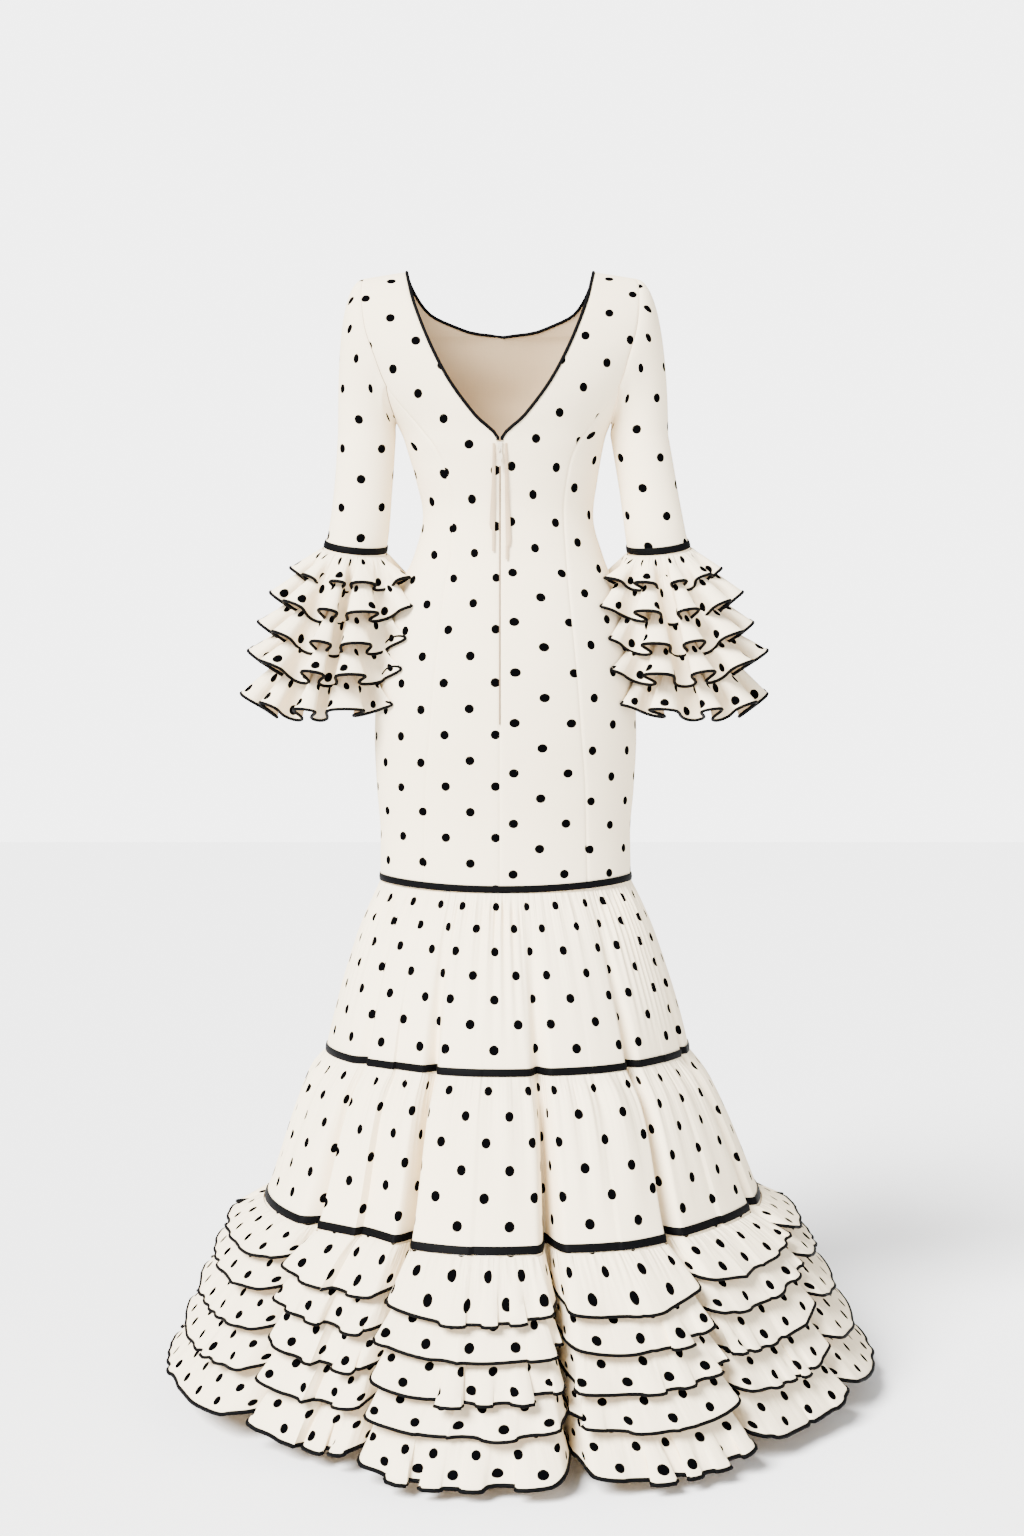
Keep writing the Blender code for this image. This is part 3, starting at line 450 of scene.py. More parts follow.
def makeRibbon(name):
    ribbon = ribbons[name]
    material, tree, shader = newMaterial(name, ribbon["roughness"], ribbon["shine"])
    weave = placeGroup(tree, "weave", Cloth=uvMap(tree), Threads=ribbon["ribs"], Slub=0.6)
    folds = placeGroup(tree, "folds", Place=objectPlace(tree), Size=60.0)
    colour = mixColour(tree, times(tree, weave["Slubs"], 0.7), ribbon["base"], ribbon["shade"])
    tree.links.new(colour, shader.inputs["Base Color"])
    rough = plus(tree, times(tree, weave["Slubs"], 0.2), ribbon["roughness"] - 0.1)
    tree.links.new(rough, shader.inputs["Roughness"])
    bumpChain(tree, shader, (folds["Height"], 0.3, 0.0008), (weave["Height"], 0.4, 0.0001))
    return material


enamel = {
    "cream": (0.640, 0.550, 0.410),
    "worn": (0.420, 0.340, 0.230),
    "roughness": 0.32,
    "smoothest": 0.28,
    "shine": 0.3,
    "coat": 0.4,
    "wearScale": 240,
    "wearFrom": 0.55,
    "speckleScale": 900,
}


def makeEnamel(name):
    material, tree, shader = newMaterial(name, enamel["roughness"], enamel["shine"])
    shader.inputs["Coat Weight"].default_value = enamel["coat"]
    place = objectPlace(tree)
    wear = noise(tree, place, enamel["wearScale"], 4)
    worn = times(tree, minus(tree, wear, enamel["wearFrom"]), 3.0, clamp=True)
    tree.links.new(mixColour(tree, worn, enamel["cream"], enamel["worn"]), shader.inputs["Base Color"])
    tree.links.new(plus(tree, times(tree, worn, 0.2), enamel["smoothest"]), shader.inputs["Roughness"])
    bumpChain(tree, shader, (noise(tree, place, enamel["speckleScale"]), 0.2, 0.00005))
    return material


gatherPatterns = {
    "skirt": {"creases": 110.0, "fade": 0.24, "depth": 0.0042},
    "frill": {"creases": 130.0, "fade": 0.50, "depth": 0.0044},
}
dotPatterns = {
    "bodice": {"spacing": 0.064, "rows": 0.0335, "radius": 0.0060, "gathers": None},
    "sleeve": {"spacing": 0.058, "rows": 0.0390, "radius": 0.0061, "gathers": None},
    "skirt": {"spacing": 0.064, "rows": 0.0315, "radius": 0.0064, "gathers": "skirt"},
    "frill": {"spacing": 0.050, "rows": 0.0230, "radius": 0.0058, "gathers": "frill"},
    "sleeveFrill": {"spacing": 0.054, "rows": 0.0270, "radius": 0.0062, "gathers": "frill"},
}
# the inner faces' material carries painted shade in its darker colour
materials = {"crepeInnerShade": makeCrepe("crepeInnerShade")}
for name in ribbons:
    materials[name] = makeRibbon(name)
materials["creamEnamel"] = makeEnamel("creamEnamel")
for name, pattern in dotPatterns.items():
    materials[f"{name}Crepe"] = makeCrepe(f"{name}Crepe", pattern, gatherPatterns.get(pattern["gathers"]))
print("materials made")


# bodice, from the same sections as the solids but with close points and smooth curves between them

bodice = {
    "clothThickness": 0.0015,
    "roundness": 2.15,
    "centreBack": 0.0065,
    "underarm": -0.2000,
    "underFrontNeck": 0.11,
    "shoulderSlope": 0.16,
    "neckPoint": 0.123,
    "princess": 0.105,
    "seamDepth": 0.0011,
    "seamWidth": 0.0018,
    "rowStep": 0.008,
    "weld": 2e-5,
    "flats": {"centreBack": (0.19, 0.84), "sideBack": (0.15, 0.68), "front": (0.54, 0.82)},
}
body = columnsOf(
    "height   width   back    front   shift",
    (-0.8110, 0.1650, 0.1140, 0.1130, -0.0010),
    (-0.7444, 0.1640, 0.1140, 0.1120, -0.0005),
    (-0.6800, 0.1690, 0.1180, 0.1120, -0.0005),
    (-0.6125, 0.1722, 0.1250, 0.1110, -0.0007),
    (-0.5500, 0.1705, 0.1270, 0.1090, -0.0010),
    (-0.4900, 0.1640, 0.1210, 0.1060, -0.0015),
    (-0.4300, 0.1490, 0.1070, 0.1020, -0.0020),
    (-0.3751, 0.1247, 0.0880, 0.0960, -0.0045),
    (-0.3223, 0.1122, 0.0800, 0.0940, -0.0040),
    (-0.2700, 0.1207, 0.0870, 0.1140, -0.0020),
    (-0.2375, 0.1282, 0.0925, 0.1270, 0.0000),
    (-0.2050, 0.1370, 0.0970, 0.1290, 0.0015),
    (-0.1600, 0.1720, 0.0990, 0.1200, 0.0030),
    (-0.1200, 0.2000, 0.0950, 0.1020, 0.0045),
    (-0.0800, 0.2180, 0.0850, 0.0830, 0.0055),
    (-0.0450, 0.2280, 0.0660, 0.0620, 0.0060),
    (-0.0200, 0.2320, 0.0420, 0.0400, 0.0065),
    (-0.0060, 0.2350, 0.0200, 0.0200, 0.0065),
    (0.0000, 0.2350, 0.0000, 0.0000, 0.0065),
)
outerEdge = columnsOf(
    "height   back    front",
    (-0.8110, 0.1050, 0.1050),
    (-0.6800, 0.1020, 0.1020),
    (-0.5500, 0.0920, 0.0940),
    (-0.4300, 0.0800, 0.0820),
    (-0.3751, 0.0740, 0.0740),
    (-0.3223, 0.0720, 0.0720),
    (-0.2700, 0.0800, 0.0780),
    (-0.2375, 0.0920, 0.0900),
    (-0.2050, 0.1130, 0.1100),
    (-0.1600, 0.1510, 0.1470),
    (-0.1200, 0.1650, 0.1560),
    (-0.0800, 0.1765, 0.1650),
    (-0.0450, 0.1805, 0.1740),
    (-0.0200, 0.1815, 0.1790),
    (-0.0060, 0.1810, 0.1805),
    (0.0000, 0.1800, 0.1800),
)
neckEdge = {
    "back": columnsOf(
        "height   half",
        (-0.2415, 0.0000),
        (-0.2050, 0.0330),
        (-0.1600, 0.0660),
        (-0.1200, 0.0870),
        (-0.0800, 0.1035),
        (-0.0450, 0.1150),
        (-0.0200, 0.1205),
        (-0.0060, 0.1235),
        (0.0000, 0.1245),
    ),
    "front": columnsOf(
        "height   half",
        (-0.0700, 0.0000),
        (-0.0695, 0.0170),
        (-0.0680, 0.0330),
        (-0.0655, 0.0470),
        (-0.0620, 0.0580),
        (-0.0450, 0.0980),
        (-0.0200, 0.1175),
        (-0.0060, 0.1235),
        (0.0000, 0.1245),
    ),
}
levelRows = (-0.6800, -0.6125, -0.5500, -0.4900, -0.4300, -0.3751, -0.3223, -0.2700, -0.2415)
fittedRows = columnsOf(
    "back     side     front",
    (-0.8110, -0.8000, -0.8000),
    (-0.8020, -0.7910, -0.7910),
    (-0.7444, -0.7400, -0.7400),
    *zip(levelRows, levelRows, levelRows),
    (-0.2050, -0.2180, -0.2050),
)
yokeRows = {
    "back": (-0.16, -0.12, -0.08, -0.045, -0.02, -0.006, 0.0),
    "front": (-0.16, -0.11, -0.07, -0.0695, -0.068, -0.0655, -0.062, -0.045, -0.02, -0.006, 0.0),
}
sloping = columnsOf("height share", (-0.16, 0.0), (-0.12, 0.15), (-0.08, 0.35), (-0.045, 0.6), (0.0, 1.0))
panelColumns = np.array((0.0, 0.008, 0.018, 0.032, *np.linspace(0.065, 0.935, 15), 0.968, 0.982, 0.992, 1.0))


def bodyPoint(height, place, side, face):
    power = 2 / bodice["roundness"]
    width, depth, shift = readTable(body, height, "width", face, "shift")
    across = np.sign(place) * width * np.abs(np.sin(place)) ** power
    depth = depth * np.maximum(np.cos(place), 0) ** power
    slope = readTable(sloping, height, "share") * bodice["shoulderSlope"]
    drop = slope * np.maximum(across - bodice["neckPoint"], 0)
    return np.stack((shift + side * across, depth * (1 if face == "back" else -1), height - drop), -1)


def angleAt(height, across):
    share = min(abs(across) / readTable(body, height, "width"), 1.0)
    return np.sign(across) * np.arcsin(share ** (bodice["roundness"] / 2))


def centreEdge(height, side, face):
    middle = bodice["centreBack"]
    if face == "front":
        middle *= max(0.0, 1 + height / bodice["underFrontNeck"])
    return readTable(neckEdge[face], height, "half") + side * (middle - readTable(body, height, "shift"))


def panelRow(height, sideHeight, side, face, part):
    inner = angleAt(height, centreEdge(height, side, face))
    seam = angleAt(height, readTable(outerEdge, height, face))
    first, last = (inner, seam) if part == "centre" else (seam, pi / 2)
    place = first + (last - first) * panelColumns
    heights = np.full(len(place), height)
    if sideHeight is not None:
        heights = height + (sideHeight - height) * smoothStep((place - inner) / (pi / 2 - inner))
    return bodyPoint(heights, place, side, face)


def panelGrid(side, face, part):
    rows = [panelRow(a, b, side, face, part) for a, b in zip(fittedRows[face], fittedRows["side"])]
    if part == "centre":
        rows += [panelRow(height, None, side, face, part) for height in yokeRows[face]]
    else:
        junction = yokeRows[face][0]
        first = angleAt(junction, readTable(outerEdge, junction, face))
        heights = junction + (bodice["underarm"] - junction) * np.sin(panelColumns * pi / 2)
        rows.append(bodyPoint(heights, first + (pi / 2 - first) * panelColumns, side, face))
    return np.array(rows)


def closeRows(grid, step):
    # the same surface with rows a step apart; also tells where the old rows went
    places = pathLengths(grid.mean(axis=1))
    at, found = [0.0], {0: 0}
    for index, (start, end) in enumerate(zip(places, places[1:]), start=1):
        count = max(1, int(round((end - start) / step)))
        at += list(start + (end - start) * np.arange(1, count + 1) / count)
        found[index] = len(at) - 1
    return smoothRead(places, grid, at), found


def facingOut(grid, side, face):
    return grid[:, ::-1] if (side == 1) == (face == "back") else grid


def sinkEdges(grid, normals, edges, depth):
    # presses the cloth in along its seams
    sunk = grid.copy()
    for edge in edges:
        turned = {"first": grid, "last": grid[:, ::-1], "top": grid[::-1].transpose(1, 0, 2)}[edge]
        amount = depth * np.exp(-((lengthsAlong(turned, 1) / bodice["seamWidth"]) ** 2))
        amount = {"first": amount, "last": amount[:, ::-1], "top": amount.T[::-1]}[edge]
        sunk -= normals * amount[..., None]
    return sunk


grids, marks = {}, {}
for sideName, side in sides.items():
    for face in ("back", "front"):
        for part in ("centre", "side"):
            key = sideName, face, part
            grids[key], marks[key] = closeRows(panelGrid(side, face, part), bodice["rowStep"])


# how each back panel was cut: where the dots fall, and how the cloth was eased in at the waist
panelCuts = {
    "centreBackLeft": columnsOf(
        "up      along   ease",
        (0.0000, 0.0000, 1.00),
        (0.1300, 0.1340, 1.00),
        (0.2650, 0.2720, 0.96),
        (0.3300, 0.3360, 1.04),
        (0.4000, 0.4040, 1.16),
        (0.4700, 0.4710, 1.13),
        (0.5450, 0.5410, 0.94),
        (0.9000, 0.8960, 0.94),
    ),
    "centreBackRight": columnsOf(
        "up      along   ease",
        (0.0000, 0.0000, 0.98),
        (0.1490, 0.1560, 0.92),
        (0.2760, 0.2900, 0.83),
        (0.3730, 0.3900, 0.92),
        (0.4420, 0.4580, 1.07),
        (0.5160, 0.5290, 1.14),
        (0.5820, 0.5910, 1.04),
        (0.9000, 0.9090, 1.00),
    ),
    "sideBackLeft": columnsOf(
        "up      along   drift",
        (0.0000, 0.0000, 0.0000),
        (0.0930, 0.0970, 0.0010),
        (0.1560, 0.1650, 0.0070),
        (0.2910, 0.2990, 0.0190),
        (0.4270, 0.4330, 0.0230),
        (0.4970, 0.5000, 0.0330),
        (0.6040, 0.6000, 0.0360),
    ),
    "sideBackRight": columnsOf(
        "up      along   drift",
        (0.0000, 0.0000, 0.0000),
        (0.1380, 0.1500, -0.0070),
        (0.2720, 0.2840, -0.0230),
        (0.4080, 0.4180, -0.0200),
        (0.5510, 0.5520, -0.0100),
        (0.6190, 0.6190, -0.0120),
    ),
}
cutStarts = {
    "centreBackLeft": (0.0055, -0.0046),
    "centreBackRight": (0.0158, 0.0091),
    "sideBackLeft": (0.0099, -0.0063),
    "sideBackRight": (-0.0106, -0.0248),
    "sleeveLeft": (-0.0093, -0.0210, -5.0),
    "sleeveRight": (0.0163, -0.0102, 3.0),
}


def clothUv(name, grid, side, part):
    # across from the dress's centre line, growing towards the wearer's right, and up from the hips
    cut = panelCuts.get(name)
    if cut:
        first = np.abs(grid[:, :1, 0] - bodice["centreBack"]) if part == "centre" else bodice["princess"]
    elif part == "centre":
        first = np.abs(grid[:, :1, 0])
    else:
        inner = grids["left" if side == 1 else "right", "front", "centre"]
        widths = np.abs(inner[:, 0, 0]) + lengthsAlong(inner, 1)[:, -1]
        first = np.interp(grid[:, 0, 2], inner[:, -1, 2], widths)[:, None]
    across = -side * (first + lengthsAlong(grid, 1))
    upwards = grid[:1, :, 2] - body["height"][0] + lengthsAlong(grid[:, :, 1:], 0)
    if cut:
        along, easeOrDrift = (np.interp(upwards, cut["up"], cut[key]) for key in list(cut)[1:])
        across = across * easeOrDrift if "ease" in cut else across + easeOrDrift
        across = across + cutStarts[name][0]
        upwards = along + cutStarts[name][1]
    return across, upwards


def addPanel(name, sideName, face, part, seams):
    side = sides[sideName]
    grid = grids[sideName, face, part]
    across, upwards = clothUv(name, grid, side, part)
    grid, across, upwards = (facingOut(values, side, face) for values in (grid, across, upwards))
    if (side == 1) == (face == "back"):
        seams = [{"first": "last", "last": "first"}.get(seam, seam) for seam in seams]
    grid = sinkEdges(grid, gridNormals(grid, False), seams, bodice["seamDepth"])
    return addGrid(name, grid, across, upwards)


def finishPanel(piece, node, area, material="bodiceCrepe"):
    thicken(piece, bodice["clothThickness"], material)
    register(piece, node)


for sideName in sides:
    title = sideName.title()
    for part, name, node, seams, beside in (
        ("centre", "centreBack", "back", ("first", "last"), "sideBack"),
        ("side", "sideBack", "side_back", ("first", "last", "top"), "centreBack"),
    ):
        piece = addPanel(name + title, sideName, "back", part, seams)
        finishPanel(piece, f"{node}_{sideName}",
                    areaOf(grids[sideName, "back", part]))
frontParts = [
    addPanel(f"frontPart{sideName}{part}", sideName, "front", part, ("last",) if part == "side" else ())
    for sideName in sides for part in ("centre", "side")
]
bpy.ops.object.select_all(action="DESELECT")
for part in frontParts:
    part.select_set(True)
front = bpy.context.view_layer.objects.active = frontParts[0]
bpy.ops.object.join()
front.name = front.data.name = "frontPanel"
bpy.ops.object.mode_set(mode="EDIT")
bpy.ops.mesh.select_all(action="SELECT")
bpy.ops.mesh.remove_doubles(threshold=bodice["weld"])
bpy.ops.object.mode_set(mode="OBJECT")
frontArea = sum(areaOf(grids[sideName, "front", part]) for sideName in sides for part in ("centre", "side"))
finishPanel(front, "front", frontArea)
print("bodice made")


# fitted sleeves

sleeve = {
    "headFullness": 0.48,
    "headRings": 30,
    "ringStep": 0.006,
    "seamShare": 0.5,
    "bandRows": 4,
    "flat": (0.30, 0.36),
}
sleeveRings = columnsOf(
    "height   centre  behind  radius  turn  shift",
    (-0.2150, 0.1795, 0.0000, 0.0382, 0.00, 0.0025),
    (-0.2800, 0.1868, 0.0040, 0.0382, 0.35, -0.0008),
    (-0.3488, 0.1951, 0.0131, 0.0396, 1.00, -0.0026),
    (-0.3582, 0.1972, 0.0120, 0.0400, 1.00, -0.0026),
    (-0.3667, 0.1992, 0.0109, 0.0408, 1.00, -0.0026),
)
forearm = {
    "elbow": np.array((0.1972, 0.0120, -0.3580)),
    "wrist": np.array((0.2460, -0.0150, -0.5750)),
    "shift": -0.0026,
    "dip": radians(15),
    "rise": 0.10,
    "start": 0.0096,
    "length": 0.158,
    "radius": (0.0405, 0.0500),
    "columns": 96,
    "rows": 20,
    "flat": (0.29, 0.16),
    "girth": 0.28,
}
ribbonBand = {
    "lift": 0.0006,
    "swell": 0.0006,
    "thickness": 0.0007,
    "lengths": {"sleeve": 0.25, "skirt_band_1": 0.9, "skirt_band_2": 2.0, "skirt_band_3": 2.0},
}


def forearmFrame(side):
    down = unit((forearm["wrist"] - forearm["elbow"]) * (side, 1, 1))
    outwards = unit(np.array((side, 0.0, forearm["rise"])))
    backwards = np.array((0.0, np.cos(forearm["dip"]), -np.sin(forearm["dip"])))
    return outwards, backwards, down


def turned(grid, side):
    return grid if side == 1 else grid[:, ::-1]


def aroundRing(middle, radius, angles, outwards, backwards):
    return middle + radius * (np.cos(angles)[:, None] * outwards + np.sin(angles)[:, None] * backwards)


def armholeRing(sideName):
    # the edge that the sleeve is set into, with each point's turn around the arm
    start = marks[sideName, "back", "centre"][len(fittedRows["back"])]
    back = grids[sideName, "back", "centre"][start:, -1]
    start = marks[sideName, "front", "centre"][len(fittedRows["back"])]
    front = grids[sideName, "front", "centre"][start:, -1]
    under = [grids[sideName, face, "side"][-1] for face in ("back", "front")]
    top = np.concatenate((back[::-1], under[0][1:], under[1][::-1][1:], front[1:-1]))
    lengths = pathLengths(wrapped(top))
    half = len(back) + len(under[0]) - 2
    behind, total, lengths = lengths[half], lengths[-1], lengths[:-1]
    beyond = pi + pi * (lengths - behind) / (total - behind)
    angles = np.where(lengths <= behind, pi * lengths / behind, beyond)
    return top, angles, half


def sleeveGrid(sideName):
    side = sides[sideName]
    top, angles, half = armholeRing(sideName)
    square = forearmFrame(side)[:2]
    level = (np.array((side, 0.0, 0.0)), np.array((0.0, 1.0, 0.0)))
    first, beforeLast, last = sleeveRings["height"][[0, -2, -1]]
    upper = np.linspace(first, beforeLast, int((first - beforeLast) / sleeve["ringStep"]))
    rings = []
    for height in np.concatenate((upper, np.linspace(beforeLast, last, sleeve["bandRows"])[1:])):
        centre, back, radius, turn, shift = readTable(
            sleeveRings, height, "centre", "behind", "radius", "turn", "shift", smooth=True
        )
        outwards, backwards = (unit(a * (1 - turn) + b * turn) for a, b in zip(level, square))
        middle = np.array((side * centre + shift, back, height))
        rings.append(aroundRing(middle, radius, angles, outwards, backwards))
    distance = np.linalg.norm(rings[0] - top, axis=1)[:, None]
    leave = np.array((side, 0.0, -0.15)) * distance * sleeve["headFullness"]
    arrive = np.array((0.0, 0.0, -1.0)) * distance
    shares = np.linspace(0, 1, sleeve["headRings"], endpoint=False)
    head = [curveBetween(share, top, leave, rings[0], arrive) for share in shares]
    return turned(np.roll(np.array(head + rings)[::-1], -half, 1), side)


def sleeveUv(name, grid):
    # across from the back of the arm and up along each thread
    around = wrapped(grid, 1)
    across, upwards = lengthsAlong(around, 1), lengthsAlong(around, 0)
    behind = int(np.argmax(grid[-sleeve["headRings"] - 1, :, 1]))
    across = across - across[:, behind:behind + 1]
    startAcross, startUp, tilt = cutStarts[name]
    cosine, sine = np.cos(radians(tilt)), np.sin(radians(tilt))
    return across * cosine - upwards * sine + startAcross, across * sine + upwards * cosine + startUp


def forearmRing(side, distances, radii, angles):
    outwards, backwards, down = forearmFrame(side)
    middle = forearm["elbow"] * (side, 1, 1) + down * np.reshape(distances, (-1, 1))
    middle = middle + (forearm["shift"], 0, 0)
    return aroundRing(middle, radii[:, None], angles, outwards, backwards)


def lowerRadius(distance):
    start, end = forearm["radius"]
    return start + (end - start) * distance / forearm["length"]


def lowerSleeveGrid(side):
    count = forearm["columns"]
    angles = 2 * pi * np.arange(count) / count
    distances = np.linspace(forearm["length"], forearm["start"], forearm["rows"])
    rings = [forearmRing(side, place, np.full(count, lowerRadius(place)), angles) for place in distances]
    return turned(np.array(rings), side)


def roundUv(grid, flatWidth):
    across = np.linspace(0, flatWidth, grid.shape[1] + 1)
    steps = np.linalg.norm(np.diff(grid, axis=0), axis=2).mean(axis=1)
    return across[None, :], np.concatenate(((0.0,), np.cumsum(steps)))[:, None]


def addBand(name, rows, node):
    # black ribbon stitched over the lowest rows of a surface
    middle = (len(rows) - 1) / 2
    swell = 1 - (np.abs(np.arange(len(rows)) - middle) / middle) ** 4
    lift = ribbonBand["lift"] + ribbonBand["swell"] * swell
    lifted = rows + gridNormals(rows, True) * lift[:, None, None]
    length = ribbonBand["lengths"].get(node, ribbonBand["lengths"]["sleeve"])
    band = addGrid(name, lifted, *roundUv(lifted, length), wrap=True)
    thicken(band, ribbonBand["thickness"], "blackRibbon", "blackRibbon", offset=1.0)
    register(band, node)


for sideName, side in sides.items():
    title = sideName.title()
    grid = sleeveGrid(sideName)
    sunk = sinkEdges(grid, gridNormals(grid, True), ("top",), bodice["seamDepth"] * sleeve["seamShare"])
    piece = addGrid(f"sleeve{title}", sunk, *sleeveUv(f"sleeve{title}", sunk), wrap=True)
    finishPanel(piece, f"sleeve_{sideName}",
                areaOf(sunk, True), "sleeveCrepe")
    addBand(f"sleeveBand{title}", grid[:sleeve["bandRows"]], f"sleeve_band_{sideName}")
    grid = lowerSleeveGrid(side)
    piece = addGrid(f"lowerSleeve{title}", grid, *roundUv(grid, forearm["girth"]), wrap=True)
    finishPanel(piece, f"lower_sleeve_{sideName}", areaOf(grid, True))
print("sleeves made")


# sleeve ruffles: flutes that widen to omega-shaped mouths at the hem

sleeveRuffle = {
    "flutes": 11,
    "firstRidge": 0.60,
    "columns": 360,
    "rows": 12,
    "seeds": {"left": 20, "right": 30},
    "unevenFlutes": (0.05, 0.03),
    "unevenSize": 0.12,
    "overSleeve": 0.0016,
    "gathers": 37,
    "gatherSize": 0.0011,
    "gatherFade": 0.3,
    "overhang": 0.145,
    "hipBulge": 0.24,
    "frontBulge": 0.4,
    "frontCalm": 0.6,
    "resting": (0.90, 0.98),
    "calm": 0.1,
    "frontDrop": 0.020,
    "bodyGap": (0.009, 0.003),
    "bodyEnd": -0.8,
    "edgeRadius": 0.0022,
    "thickness": 0.0010,
    "material": "sleeveFrillCrepe",
    "cutRow": 1,
    "dotStart": (0.021, 0.016),
}
sleeveRuffles = columnsOf(
    "seam   hem    radius  hip     wave    lift    hipRise sideDrop",
    (0.012, 0.0480, 0.0650, 0.0600, 0.0125, 0.0090, 0.010, 0.000),
    (0.028, 0.0850, 0.0790, 0.0585, 0.0190, 0.0125, 0.012, 0.000),
    (0.068, 0.1260, 0.0850, 0.0575, 0.0215, 0.0132, 0.012, 0.000),
    (0.108, 0.1640, 0.0920, 0.0595, 0.0225, 0.0132, 0.012, 0.000),
    (0.148, 0.2120, 0.0850, 0.0680, 0.0210, 0.0125, 0.014, 0.010),
)


def clearOfBody(points, gap):
    # pushes points off the bodice where the arm hangs against it
    width, back, front, shift = readTable(body, points[:, 2], "width", "back", "front", "shift")
    depth = np.where(points[:, 1] > 0, back, front)
    across = (points[:, 0] - shift) / (width + gap)
    power = bodice["roundness"]
    inside = np.abs(across) ** power + np.abs(points[:, 1] / (depth + gap)) ** power
    grow = np.maximum(inside, 1e-9) ** (-1 / power)
    grow = np.where((inside < 1) & (points[:, 2] > sleeveRuffle["bodyEnd"]), grow, 1.0)
    middle = np.stack((shift, np.zeros(len(points)), points[:, 2]), 1)
    return middle + (points - middle) * np.stack((grow, grow, np.ones(len(points))), 1)


def sleeveRuffleGrid(sideName, number):
    side, seed = sides[sideName], sleeveRuffle["seeds"][sideName]
    seam, hem, radius, hip, wave, lift, hipRise, sideDrop = (
        column[number] for column in sleeveRuffles.values()
    )
    flutes, count = sleeveRuffle["flutes"], sleeveRuffle["columns"]
    around = np.arange(count) / count
    plain = 2 * pi * around
    shared, own = sleeveRuffle["unevenFlutes"]
    uneven = shared * wander(around, seed, 2, 7) + own * wander(around, seed + number, 2, 9)
    phase = 2 * pi * (flutes * around + sleeveRuffle["firstRidge"] + uneven)
    inward = -np.cos(plain)
    low, high = sleeveRuffle["resting"]
    lying = smoothStep((inward - low) / (high - low))
    free = 1 - (1 - sleeveRuffle["calm"]) * lying
    behind = np.where(np.sin(plain) > 0, 1.0, sleeveRuffle["frontBulge"])
    front = np.maximum(-np.sin(plain), 0)
    lift = lift * (1 - sleeveRuffle["frontCalm"] * front)
    bulge = 1 + sleeveRuffle["hipBulge"] * smoothStep((inward - 0.1) / 0.7) * behind
    hemRadius = radius * bulge * (1 - lying) + hip * lying
    size = wave * (1 + sleeveRuffle["unevenSize"] * wander(around, seed + 7 + number, 1, 6)) * free
    pleats = sleeveRuffle["gathers"] * around + 0.4 * wander(around, seed + 50 + number, 2, 8)
    pleats = sleeveRuffle["gatherSize"] * np.sin(2 * pi * pleats)
    gapAtSeam, gapAtHem = sleeveRuffle["bodyGap"]
    start = lowerRadius(seam) + sleeveRuffle["overSleeve"]
    rows = []
    for v in np.linspace(0, 1, sleeveRuffle["rows"]):
        growth = v**1.25
        gathers = pleats * np.exp(-v / sleeveRuffle["gatherFade"]) * min(1.0, v * 12)
        angles = plain + free * sleeveRuffle["overhang"] * growth * np.sin(2 * phase) * 2 * pi / flutes
        radii = start + (hemRadius - start) * v**0.82 + size * growth * np.cos(phase) + gathers
        distances = seam + (hem - seam) * v**1.12 - free * lift * growth * np.cos(phase)
        distances = distances + growth * (sideDrop * np.maximum(-inward, 0) - hipRise * smoothStep(inward))
        distances = distances + v * sleeveRuffle["frontDrop"] * front
        ring = forearmRing(side, distances, radii, angles)
        rows.append(clearOfBody(ring, gapAtSeam + (gapAtHem - gapAtSeam) * v))
    return turned(np.array(rows)[::-1], side)


def addRuffle(name, node, number, grid, ruffle, edgeRadius):
    hemLength = pathLengths(wrapped(grid[0]))[-1]
    shiftAcross, shiftUp = ruffle["dotStart"]
    # dots stay round along the row where the cloth counts as cut
    across = pathLengths(wrapped(grid[ruffle["cutRow"]])) + shiftAcross * number
    upwards = roundUv(grid, 1.0)[1]
    piece = addGrid(name, grid, across[None, :], upwards + shiftUp, wrap=True)
    thicken(piece, ruffle["thickness"], ruffle["material"], offset=0.0)
    edgeName = name.replace("Ruffle", "RuffleEdge")
    edge = addTube(edgeName, grid[0], grid[0] - grid[1], edgeRadius, "blackRibbon")
    register(piece, node)
    register(edge)
    areaOf(grid, True)


for sideName in sides:
    for number in range(5):
        addRuffle(
            f"sleeveRuffle{sideName.title()}{number + 1}", f"sleeve_ruffle_{sideName}_{number + 1}", number,
            sleeveRuffleGrid(sideName, number), sleeveRuffle, sleeveRuffle["edgeRadius"],
        )
print("sleeve ruffles made")


# skirt: two gathered tiers over deep folds, then rows of frills

